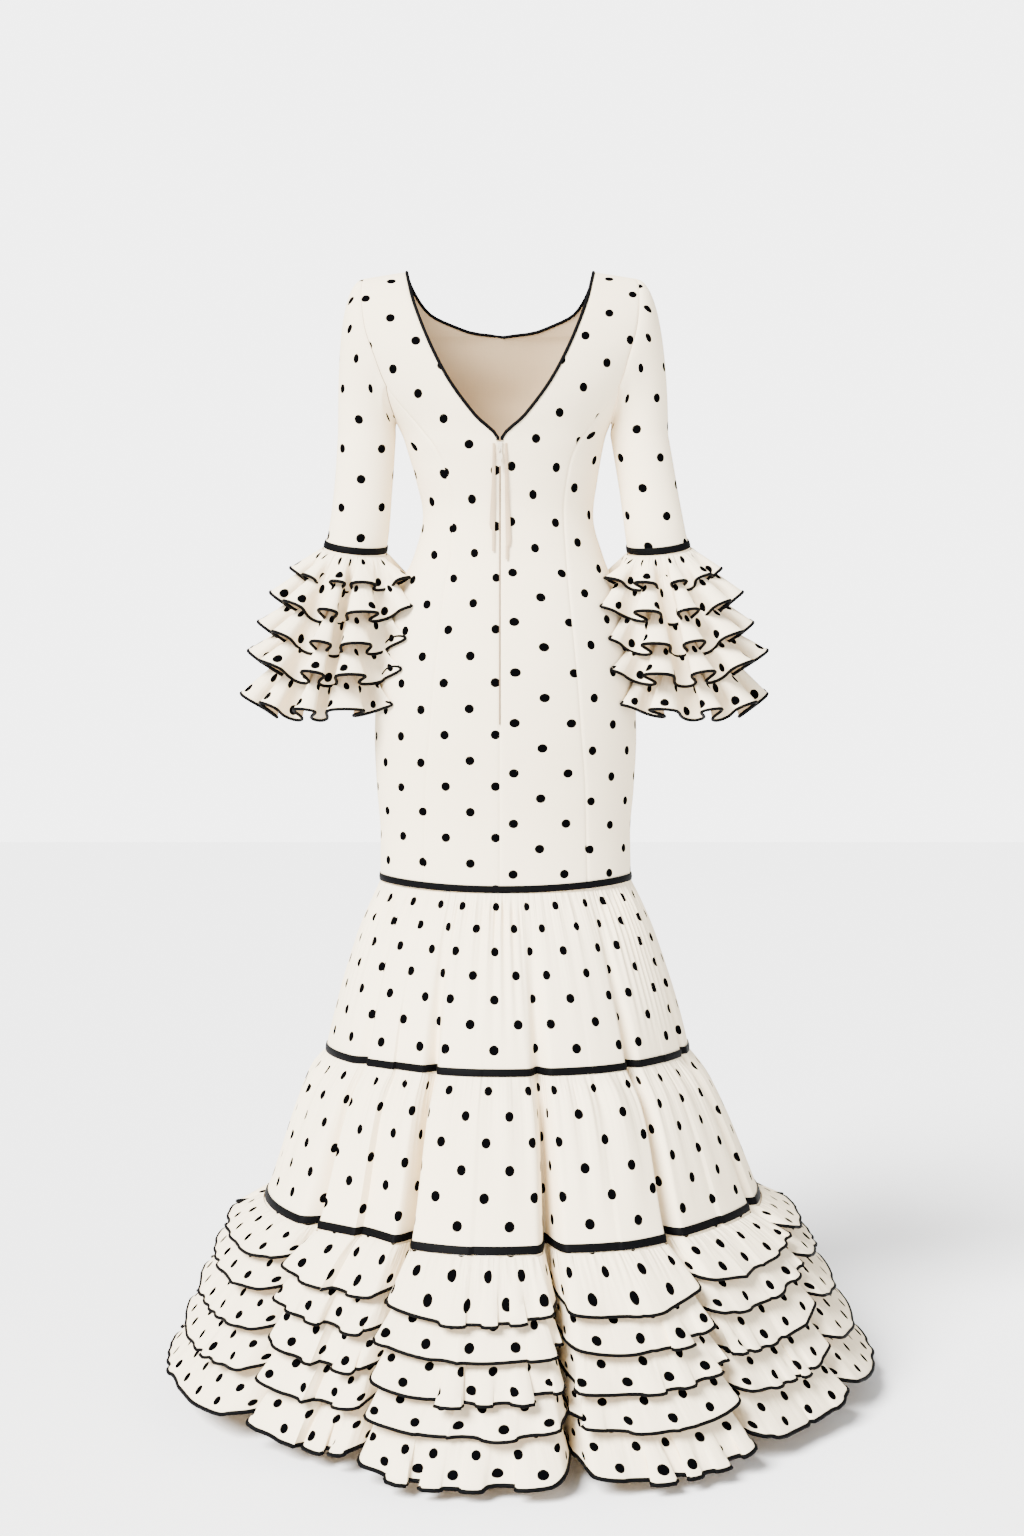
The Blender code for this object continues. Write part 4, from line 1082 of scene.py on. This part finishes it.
skirt = {
    "lobeColumns": 76,
    "foldReach": 0.15,
    "foldSharpness": 1.2,
    "closing": 0.062,
    "closingAt": 0.12,
    "hemTurn": 0.19,
    "calmReach": 0.2,
    "calm": 0.9,
    "tierClosing": 0.60,
    "closedFold": 0.03,
    "tierRows": 28,
    "tierThickness": 0.0014,
    "bandWidth": 0.009,
    "bandRows": 3,
    "apex": np.array((0.0243, 0.0, -0.5299)),
    "baseBottom": -1.3750,
    "baseTop": -1.2090,
    "baseClosings": (0.35, 0.35, 0.35, 0.45, 0.57),
    "baseSunk": 0.0005,
    "baseThickness": 0.0012,
    "baseGirth": 2.9,
    "baseFlat": (3.0, 0.19),
}
hemRuffle = {
    "frills": 64,
    "frillSize": 0.0090,
    "frillDrop": 0.0012,
    "frillOverhang": 0.0085,
    "frillStrength": (0.42, 0.80, 1.15),  # the least, what hooks add and the most
    "sidelong": 0.15,
    "pleats": 235,
    "pleatSize": 0.0018,
    "pleatFade": 0.40,
    "cornerRaise": 0.021,
    "overSeam": 0.0014,
    "seamClosings": (0.62, 0.58, 0.58, 0.58, 0.58),
    "hemClosing": 1.1,
    "shallow": (0.97, 0.15),
    "rows": 12,
    "edgeRadius": 0.0022,
    "lastEdgeRadius": 0.0026,
    "thickness": 0.0010,
    "material": "frillCrepe",
    "cutRow": 4,
    "dotStart": (0.017, 0.009),
}
folds = columnsOf(
    "above  middle hem    depth  lobe",
    (-50.0, -50.5, -46.5, 0.6, -0.35),
    (-23.7, -24.3, -25.0, 1.2, 0.20),
    (9.4, 8.0, 7.6, 1.0, 0.20),
    (40.4, 36.0, 36.0, 1.2, -0.10),
    (72.0, 71.0, 63.0, 0.6, 0.00),
    (102.0, 100.0, 97.0, 0.8, 0.00),
    (122.0, 117.0, 113.0, 1.0, 0.00),
    (145.0, 141.7, 139.0, 0.8, 0.10),
    (168.0, 166.3, 165.0, 1.0, 0.10),
    (190.0, 190.0, 190.0, 0.8, 0.10),
    (213.0, 214.6, 216.0, 1.0, 0.00),
    (237.0, 239.0, 241.0, 0.8, 0.00),
    (268.0, 268.0, 267.0, 0.8, 0.00),
)
tiers = {
    1: columnsOf(
        "height   width   back    front   shift    dip     fold",
        (-0.8003, 0.1650, 0.1140, 0.1130, -0.0010, 0.0110, 0.000),
        (-0.8700, 0.1955, 0.1650, 0.1620, -0.0015, 0.0080, 0.005),
        (-1.0125, 0.2365, 0.2290, 0.2240, -0.0033, 0.0020, 0.018),
        (-1.0215, 0.2380, 0.2310, 0.2260, -0.0033, 0.0020, 0.020),
    ),
    2: columnsOf(
        "height   width   back    front   shift    dip     fold",
        (-1.0215, 0.2380, 0.2310, 0.2260, -0.0033, 0.0020, 0.020),
        (-1.0610, 0.2655, 0.2600, 0.2540, -0.0045, 0.0025, 0.028),
        (-1.1995, 0.3200, 0.3210, 0.3120, -0.0099, 0.0040, 0.056),
        (-1.2085, 0.3235, 0.3250, 0.3155, -0.0099, 0.0040, 0.057),
    ),
}
hemRuffles = columnsOf(
    "seam     seamDip  hem      hemDip  lobe",
    (-1.2112, 0.000, -1.2400, 0.031, 0.034),
    (-1.2240, 0.026, -1.2720, 0.036, 0.036),
    (-1.2560, 0.034, -1.3160, 0.030, 0.036),
    (-1.2990, 0.029, -1.3620, 0.018, 0.036),
    (-1.3450, 0.019, -1.4110, 0.014, 0.036),
)
lobeCount = len(folds["depth"])
lobeIndex = np.repeat(np.arange(lobeCount), skirt["lobeColumns"])
lobePlace = np.tile(np.arange(skirt["lobeColumns"]) / skirt["lobeColumns"], lobeCount)
nearFold = np.minimum(lobePlace, 1 - lobePlace)


def bellNearFold(reach):
    return 0.5 * (1 + np.cos(pi * np.minimum(nearFold / reach, 1)))


foldShare = bellNearFold(skirt["foldReach"]) ** skirt["foldSharpness"]
foldDepth = np.where(lobePlace < 0.5, folds["depth"][lobeIndex], np.roll(folds["depth"], -1)[lobeIndex])
lean = nearFold / skirt["closingAt"]
lean = skirt["closing"] * (lean * np.exp(1 - lean)) ** 2 * np.where(lobePlace < 0.5, 1, -1)
calmNearFold = 1 - skirt["calm"] * bellNearFold(skirt["calmReach"])
atCorner = (1 - np.sin(pi * lobePlace)) ** 1.5


def foldPlaces(heights):
    # where each column's lobe starts and how wide it is, in degrees
    seam, hem = tiers[2]["height"][[0, -1]]
    upper = smoothStep((seam - heights) / (seam - hem))
    lower = smoothStep((hem - heights) / skirt["hemTurn"])
    ends = {name: np.append(folds[name][1:], folds[name][0] + 360) for name in ("above", "middle", "hem")}
    found = []
    for table in (folds, ends):
        above, middle, hem = (table[name][lobeIndex] for name in ("above", "middle", "hem"))
        found.append(above + (middle - above) * upper + (hem - middle) * lower)
    return found[0], found[1] - found[0]


def skirtRing(level, closing, shallow=1.0, ripple=0.0):
    # one closed line around the skirt: lobes with nearly closed folds between them
    starts, sizes = foldPlaces(level["height"])
    angle = np.radians(starts + sizes * (lobePlace - closing * lean))
    lobes = folds["lobe"][lobeIndex] * np.sin(pi * lobePlace)
    reach = level["fold"] * foldDepth * (lobes - shallow * foldShare) + ripple
    across = -np.sin(angle) * (level["width"] + reach)
    depth = np.cos(angle) * (np.where(np.cos(angle) > 0, level["back"], level["front"]) + reach)
    height = level["height"] - level["dip"] * np.maximum(np.cos(angle), 0) ** 2
    return np.stack((across + level["shift"], depth, height), -1)


topLevel = {name: tiers[2][name][-1] for name in tiers[2]}
topRing = skirtRing(topLevel, skirt["tierClosing"])
around = pathLengths(wrapped(topRing))
around = around[:-1] / around[-1]
# gathers below each tier's seam: broad ones that fade slowly and fine ones that fade soon
gathers = {
    "broadCount": 80,
    "broadSize": (0.0034, 0.0042),
    "broadFade": 0.5,
    "broadFull": 0.12,
    "broadEnd": (0.6, 1.0),
    "fineCount": 230,
    "fineSize": 0.0016,
    "fineFade": 0.22,
    "uneven": 0.4,
}


def unevenWaves(count, shake, seed, low, high):
    return np.sin(2 * pi * (count * around + shake * wander(around, seed, low, high)))




def tierGrid(number):
    table = tiers[number]
    broadWave = unevenWaves(gathers["broadCount"], 0.8, 2 + number, 3, 16)
    fineWave = unevenWaves(gathers["fineCount"], 1.0, 4 + number, 5, 30)
    strength = 1 - gathers["uneven"] + gathers["uneven"] * wander(around, 7 + number, 4, 16)
    start, end = gathers["broadEnd"]
    top, bottom = table["height"][0], table["height"][-1]
    band = skirt["bandWidth"] / (top - bottom)
    rows = []
    for v in np.concatenate((np.linspace(0, 1 - band, skirt["tierRows"]), [1 - band / 2, 1])):
        height = top + (bottom - top) * v
        level = dict(zip(table, readTable(table, height, *table, smooth=True)))
        fine = gathers["fineSize"] * np.exp(-v / gathers["fineFade"]) * min(1.0, v * 25)
        broad = gathers["broadSize"][number - 1] * np.exp(-v / gathers["broadFade"])
        broad = broad * smoothStep(v / gathers["broadFull"]) * (1 - smoothStep((v - start) / (end - start)))
        ripple = (fineWave * fine + broadWave * broad) * strength * calmNearFold
        closing = skirt["tierClosing"] * min(1.0, level["fold"] / skirt["closedFold"])
        rows.append(skirtRing(level, closing, ripple=ripple))
    return np.array(rows)[::-1]


for number, above in ((1, ["frontPanel", "centreBackLeft", "centreBackRight"]), (2, ["skirtTier1"])):
    grid = tierGrid(number)
    across, upwards = pathLengths(wrapped(grid[0])), roundUv(grid, 1.0)[1]
    piece = addGrid(f"skirtTier{number}", grid, across[None, :], upwards, wrap=True)
    thicken(piece, skirt["tierThickness"], "skirtCrepe")
    register(piece, f"skirt_tier_{number}")
    print(piece.name, "flat", round(float(across[-1]), 3), round(float(upwards[-1, 0]), 3))
    addBand(f"skirtBand{number + 1}", grid[:skirt["bandRows"]], f"skirt_band_{number + 1}")
hipRows = []
for row in (0, marks["left", "back", "centre"][1]):
    ring = []
    for sideName, face, turn in (
        ("right", "back", 1), ("right", "front", -1), ("left", "front", 1), ("left", "back", -1)
    ):
        line = np.concatenate((grids[sideName, face, "centre"][row], grids[sideName, face, "side"][row][1:]))
        ring += list(line[::turn][:-1])
    hipRows.append(np.array(ring))
low, high = hipRows
addBand("skirtBand1", np.array((low, (low + high) / 2, high)), "skirt_band_1")
print("skirt tiers made")

# the lower skirt is a cone through the second tier's bottom edge
radial = unit(topRing * (1, 1, 0))
alongRing = unit((np.roll(topRing, -1, 0) - np.roll(topRing, 1, 0)) * (1, 1, 0))
flatNormals = np.stack((alongRing[:, 1], -alongRing[:, 0], np.zeros(len(alongRing))), -1)
behindRing = np.maximum(radial[:, 1], 0) ** 2


def coneRing(heights, closing, shallow=1.0, ripple=0.0):
    share = (skirt["apex"][2] - heights) / (skirt["apex"][2] - topLevel["height"])
    level = {name: topLevel[name] * share for name in ("width", "back", "front", "dip", "fold")}
    level["shift"] = skirt["apex"][0] * (1 - share) + topLevel["shift"] * share
    level["height"] = heights
    return skirtRing(level, closing, shallow, ripple)


baseHeights = np.linspace(skirt["baseBottom"], skirt["baseTop"], len(skirt["baseClosings"]))
baseGrid = np.array([
    coneRing(np.full(len(topRing), height), closing, ripple=-skirt["baseSunk"])
    for height, closing in zip(baseHeights, skirt["baseClosings"])
])
base = addGrid("skirtBase", baseGrid, *roundUv(baseGrid, skirt["baseGirth"]), wrap=True)
thicken(base, skirt["baseThickness"], "skirtCrepe")
register(base, "skirt_base")


def hemRuffleGrid(number):
    seam, seamDip, hem, hemDip, lobe = (column[number] for column in hemRuffles.values())
    phase = 2 * pi * (hemRuffle["frills"] * around + 0.6 * wander(around, 60 + number, 3, 18))
    hooks = np.maximum(wander(around, 80 + number, 10, 45), 0) ** 2
    sidelong = hemRuffle["sidelong"] + (1 - hemRuffle["sidelong"]) * np.abs(radial[:, 1]) ** 1.5
    least, added, most = hemRuffle["frillStrength"]
    strength = np.minimum(least + added * hooks, most) * calmNearFold * sidelong
    pleats = unevenWaves(hemRuffle["pleats"], 1.0, 90 + number, 5, 30)
    pleats = hemRuffle["pleatSize"] * pleats * calmNearFold
    shallowAtSeam, shallower = hemRuffle["shallow"]
    seamClosing, hemClosing = hemRuffle["seamClosings"][number], hemRuffle["hemClosing"]
    rows = []
    for v in np.linspace(0, 1, hemRuffle["rows"]):
        heights = seam + (hem - seam) * v - (seamDip + (hemDip - seamDip) * v) * behindRing
        heights = heights + hemRuffle["cornerRaise"] * v**1.5 * atCorner
        stand = v**0.8
        small = pleats * np.exp(-v / hemRuffle["pleatFade"]) * min(1.0, v * 12)
        ripple = hemRuffle["overSeam"] + lobe * stand * (1 - foldShare) + small
        closing = seamClosing + (hemClosing - seamClosing) * stand
        ring = coneRing(heights, closing, shallowAtSeam - shallower * stand, ripple)
        growth = strength * v**1.3
        outwards = growth * hemRuffle["frillSize"] * np.cos(phase)
        sideways = growth * hemRuffle["frillOverhang"] * np.sin(2 * phase)
        ring = ring + flatNormals * outwards[:, None] + alongRing * sideways[:, None]
        ring[:, 2] -= growth * hemRuffle["frillDrop"] * np.cos(phase)
        rows.append(ring)
    return np.array(rows)[::-1]


for number in range(5):
    addRuffle(
        f"hemRuffle{number + 1}", f"hem_ruffle_{number + 1}", number, hemRuffleGrid(number), hemRuffle,
        hemRuffle["lastEdgeRadius" if number == 4 else "edgeRadius"],
    )
print("hem ruffles made")


# neck binding, hanger loops and zip

# both ends stop just above the slider and stand apart there
binding = {"radius": 0.0023, "stop": 0.0016, "apart": 0.0027, "overEdge": 0.0014, "sunk": 0.0004, "turns": 10}
bodyAxis = np.array((bodice["centreBack"], 0.0, -0.30))


def endsAbovePoint(line, normal, edge, backCount):
    fromMiddle = np.abs(edge[:, 0] - bodice["centreBack"])
    first = int(np.argmax(fromMiddle > binding["stop"]))
    share = (binding["stop"] - fromMiddle[first - 1]) / (fromMiddle[first] - fromMiddle[first - 1])
    end = line[first - 1] + share * (line[first] - line[first - 1])
    line = np.concatenate((end[None], line[first:]))
    normal = np.concatenate((normal[first][None], normal[first:]))
    side = np.sign(edge[backCount - 1, 0] - bodice["centreBack"])
    reach = side * (line[:backCount - first, 0] - bodice["centreBack"])
    line[:backCount - first, 0] = bodice["centreBack"] + side * np.maximum(reach, binding["apart"])
    return line, normal


def neckPath():
    # along the back's V from its point, over the shoulder and along the front neck, for each side
    path, square = [], []
    for sideName, turn in (("left", 1), ("right", -1)):
        back = grids[sideName, "back", "centre"][marks[sideName, "back", "centre"][11]:]
        start = marks[sideName, "front", "centre"][len(fittedRows["back"]) + yokeRows["front"].index(-0.07)]
        fore = grids[sideName, "front", "centre"][start:]
        edge, beside = (np.concatenate((back[:, column], fore[::-1][1:, column])) for column in (0, 3))
        along = unit(np.gradient(edge, axis=0))
        along[-1] = unit(edge[-2] * (-1, 1, 1) - edge[-2])
        inwards = unit(beside - edge)
        inwards = unit(inwards - along * np.sum(inwards * along, 1, keepdims=True))
        normal = np.cross(along, inwards)
        normal = normal * np.sign(np.sum(normal * (edge - bodyAxis), 1, keepdims=True))
        away = np.cross(along, normal)
        opening = unit(bodyAxis * (1, 0, 0) + edge * (0, 1, 0) - edge)
        away = away * np.sign(np.sum(away * opening, 1, keepdims=True))
        line = edge + away * binding["overEdge"] - normal * binding["sunk"]
        line, normal = endsAbovePoint(line, normal, edge, len(back))
        path.append(line if turn == 1 else line[::-1][1:])
        square.append(normal if turn == 1 else normal[::-1][1:])
    return np.concatenate(path), np.concatenate(square)


neckBinding = addTube(
    "neckBinding", *neckPath(), binding["radius"], "blackRibbon", closed=False, turns=binding["turns"]
)
register(neckBinding, "neck_binding")

hangerLoop = {
    "ribbonWidth": 0.010,
    "thickness": 0.0006,
    "lift": 0.0008,
    "crease": 0.0005,
    "ripple": 0.0003,
    "rippleTurn": 160,
    "rows": (14, 8, 50),
    "columns": 7,
}
hangerLoops = {
    "left": columnsOf(
        "height   middle  half    off",
        (-0.2400, 0.0075, 0.0014, 0.0003),
        (-0.2550, 0.0075, 0.0017, 0.0012),
        (-0.2900, 0.0080, 0.0021, 0.0022),
        (-0.3420, 0.0098, 0.0034, 0.0024),
        (-0.3480, 0.0092, 0.0026, 0.0024),
        (-0.3500, 0.0080, 0.0017, 0.0024),
        (-0.3770, 0.0082, 0.0017, 0.0024),
    ),
    "right": columnsOf(
        "height   middle  half    off",
        (-0.2400, 0.0075, 0.0014, 0.0003),
        (-0.2550, 0.0080, 0.0017, 0.0012),
        (-0.2900, 0.0085, 0.0021, 0.0022),
        (-0.3620, 0.0108, 0.0034, 0.0024),
        (-0.3690, 0.0102, 0.0026, 0.0024),
        (-0.3710, 0.0090, 0.0017, 0.0024),
        (-0.3880, 0.0088, 0.0017, 0.0024),
    ),
}


def loopRow(height, table, panel, side):
    middle, half, off = readTable(table, height, "middle", "half", "off")
    inner, outer = (
        np.array([np.interp(height, panel[:, column, 2], panel[:, column, axis]) for axis in range(3)])
        for column in (0, 6)
    )
    across = (outer - inner) / abs(outer[0] - inner[0])
    outwards = unit(np.cross(across, (0.0, 0.0, 1.0)))
    outwards = outwards if outwards[1] > 0 else -outwards
    places = np.linspace(-1, 1, hangerLoop["columns"])
    ripple = hangerLoop["ripple"] * np.sin(height * hangerLoop["rippleTurn"] + side)
    lift = off + hangerLoop["lift"] + (hangerLoop["crease"] * (1 - places**2) + ripple)
    return inner + across * (middle + places * half)[:, None] + outwards * lift[:, None]


for sideName, table in hangerLoops.items():
    side = sides[sideName]
    first, fold, beforeLast, last = table["height"][[0, -4, -2, -1]]
    stretches = zip((last, beforeLast, fold), (beforeLast, fold, first), hangerLoop["rows"])
    heights = [np.linspace(*stretch) for stretch in stretches]
    heights = np.concatenate((heights[0][:-1], heights[1][:-1], heights[2]))
    panel = grids[sideName, "back", "centre"]
    rows = np.array([loopRow(height, table, panel, side)[::-side] for height in heights])
    upwards = pathLengths(rows[:, 3])
    loop = addGrid(f"hangerLoop{sideName.title()}", rows, pathLengths(rows[40])[None, :], upwards[:, None])
    thicken(loop, hangerLoop["thickness"], "creamRibbon", "creamRibbon", offset=0.0)
    register(loop, f"hanger_loop_{sideName}")
    areaOf(rows)

# the closed teeth show as a thin line between the two centre back panels; their dark tan colour is painted
# shade for the slit there
teeth = {"radius": 0.0008, "step": 0.004, "top": -0.2425, "bottom": -0.600}
edges = [grids[sideName, "back", "centre"][:, 0] for sideName in sides]
line = np.array([
    [np.mean([np.interp(height, edge[:, 2], edge[:, axis]) for edge in edges]) for axis in range(3)]
    for height in np.arange(teeth["top"], teeth["bottom"], -teeth["step"])
])
acrossZip = np.tile((1.0, 0.0, 0.0), (len(line), 1))
zipTeethAndSlitShade = addTube("zipTeethAndSlitShade", line, acrossZip, teeth["radius"], "zipTeethAndSlitShade", closed=False)
register(zipTeethAndSlitShade)

zipMaterials = {"zip_tape": "creamRibbon", "zip_slider": "creamEnamel", "zip_pull": "creamEnamel"}
for name, material in zipMaterials.items():
    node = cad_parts[name]
    node.data.materials.clear()
    node.data.materials.append(materials[material])
    if "cloth" not in node.data.uv_layers:
        layer = node.data.uv_layers.new(name="cloth")
        for loop in node.data.loops:
            place = node.data.vertices[loop.vertex_index].co
            layer.data[loop.index].uv = (place.x, place.z)
print("trims made")


# floor, light and camera

studio = {
    "floorHeight": -1.4450,
    "floorSize": 30,
    "paper": (0.94, 0.94, 0.94),
    "paperShade": (0.92, 0.92, 0.92),
    "grainScale": 3.0,
    "cameraDistance": 2.63,
    "cameraHeight": -0.6305,
    "focalPixels": 1994.0,
    "centrePixel": (505.0, 750.0),
    "imageSize": (1024.0, 1536.0),
    "sensor": 36,
    "backdrop": 5.0,
    "fill": 0.9,
    "suns": (
        ("keyLight", (-0.60, -0.75, -0.80), 0.5, 18.0),
        ("fillLight", (0.70, -0.60, -0.15), 0.9, 2.0),
    ),
}
bpy.ops.mesh.primitive_plane_add(size=studio["floorSize"], location=(0, 0, studio["floorHeight"]))
floor = bpy.context.object
floor.name = "studioFloor"
floorMaterial, floorTree, floorShader = newMaterial("studioPaper", 0.9, 0.1)
grain = noise(floorTree, None, studio["grainScale"])
paper = mixColour(floorTree, grain, studio["paper"], studio["paperShade"])
floorTree.links.new(paper, floorShader.inputs["Base Color"])
floor.data.materials.append(floorMaterial)

world = bpy.data.worlds.new("studioWorld")
world.use_nodes = True
tree = world.node_tree
ray = addNode(tree, "LightPath").outputs["Is Camera Ray"]
seen = times(tree, ray, studio["backdrop"] - studio["fill"])
background = tree.nodes["Background"].inputs
background[0].default_value = (1.0, 1.0, 1.0, 1.0)
tree.links.new(plus(tree, seen, studio["fill"]), background[1])
bpy.context.scene.world = world
for name, towards, softness, power in studio["suns"]:
    bpy.ops.object.light_add(type="SUN", rotation=Vector(towards).to_track_quat("-Z", "Y").to_euler())
    lamp = bpy.context.object
    lamp.name = name
    lamp.data.angle = softness
    lamp.data.energy = power

bpy.ops.object.camera_add(
    location=(0, studio["cameraDistance"], studio["cameraHeight"]), rotation=(pi / 2, 0, pi)
)
camera = bpy.context.object
camera.name = "studioCamera"
width, height = studio["imageSize"]
camera.data.sensor_width = studio["sensor"]
camera.data.lens = studio["focalPixels"] / height * studio["sensor"]
camera.data.shift_x = (width / 2 - studio["centrePixel"][0]) / height
camera.data.shift_y = -(height / 2 - studio["centrePixel"][1]) / height
bpy.context.scene.camera = camera
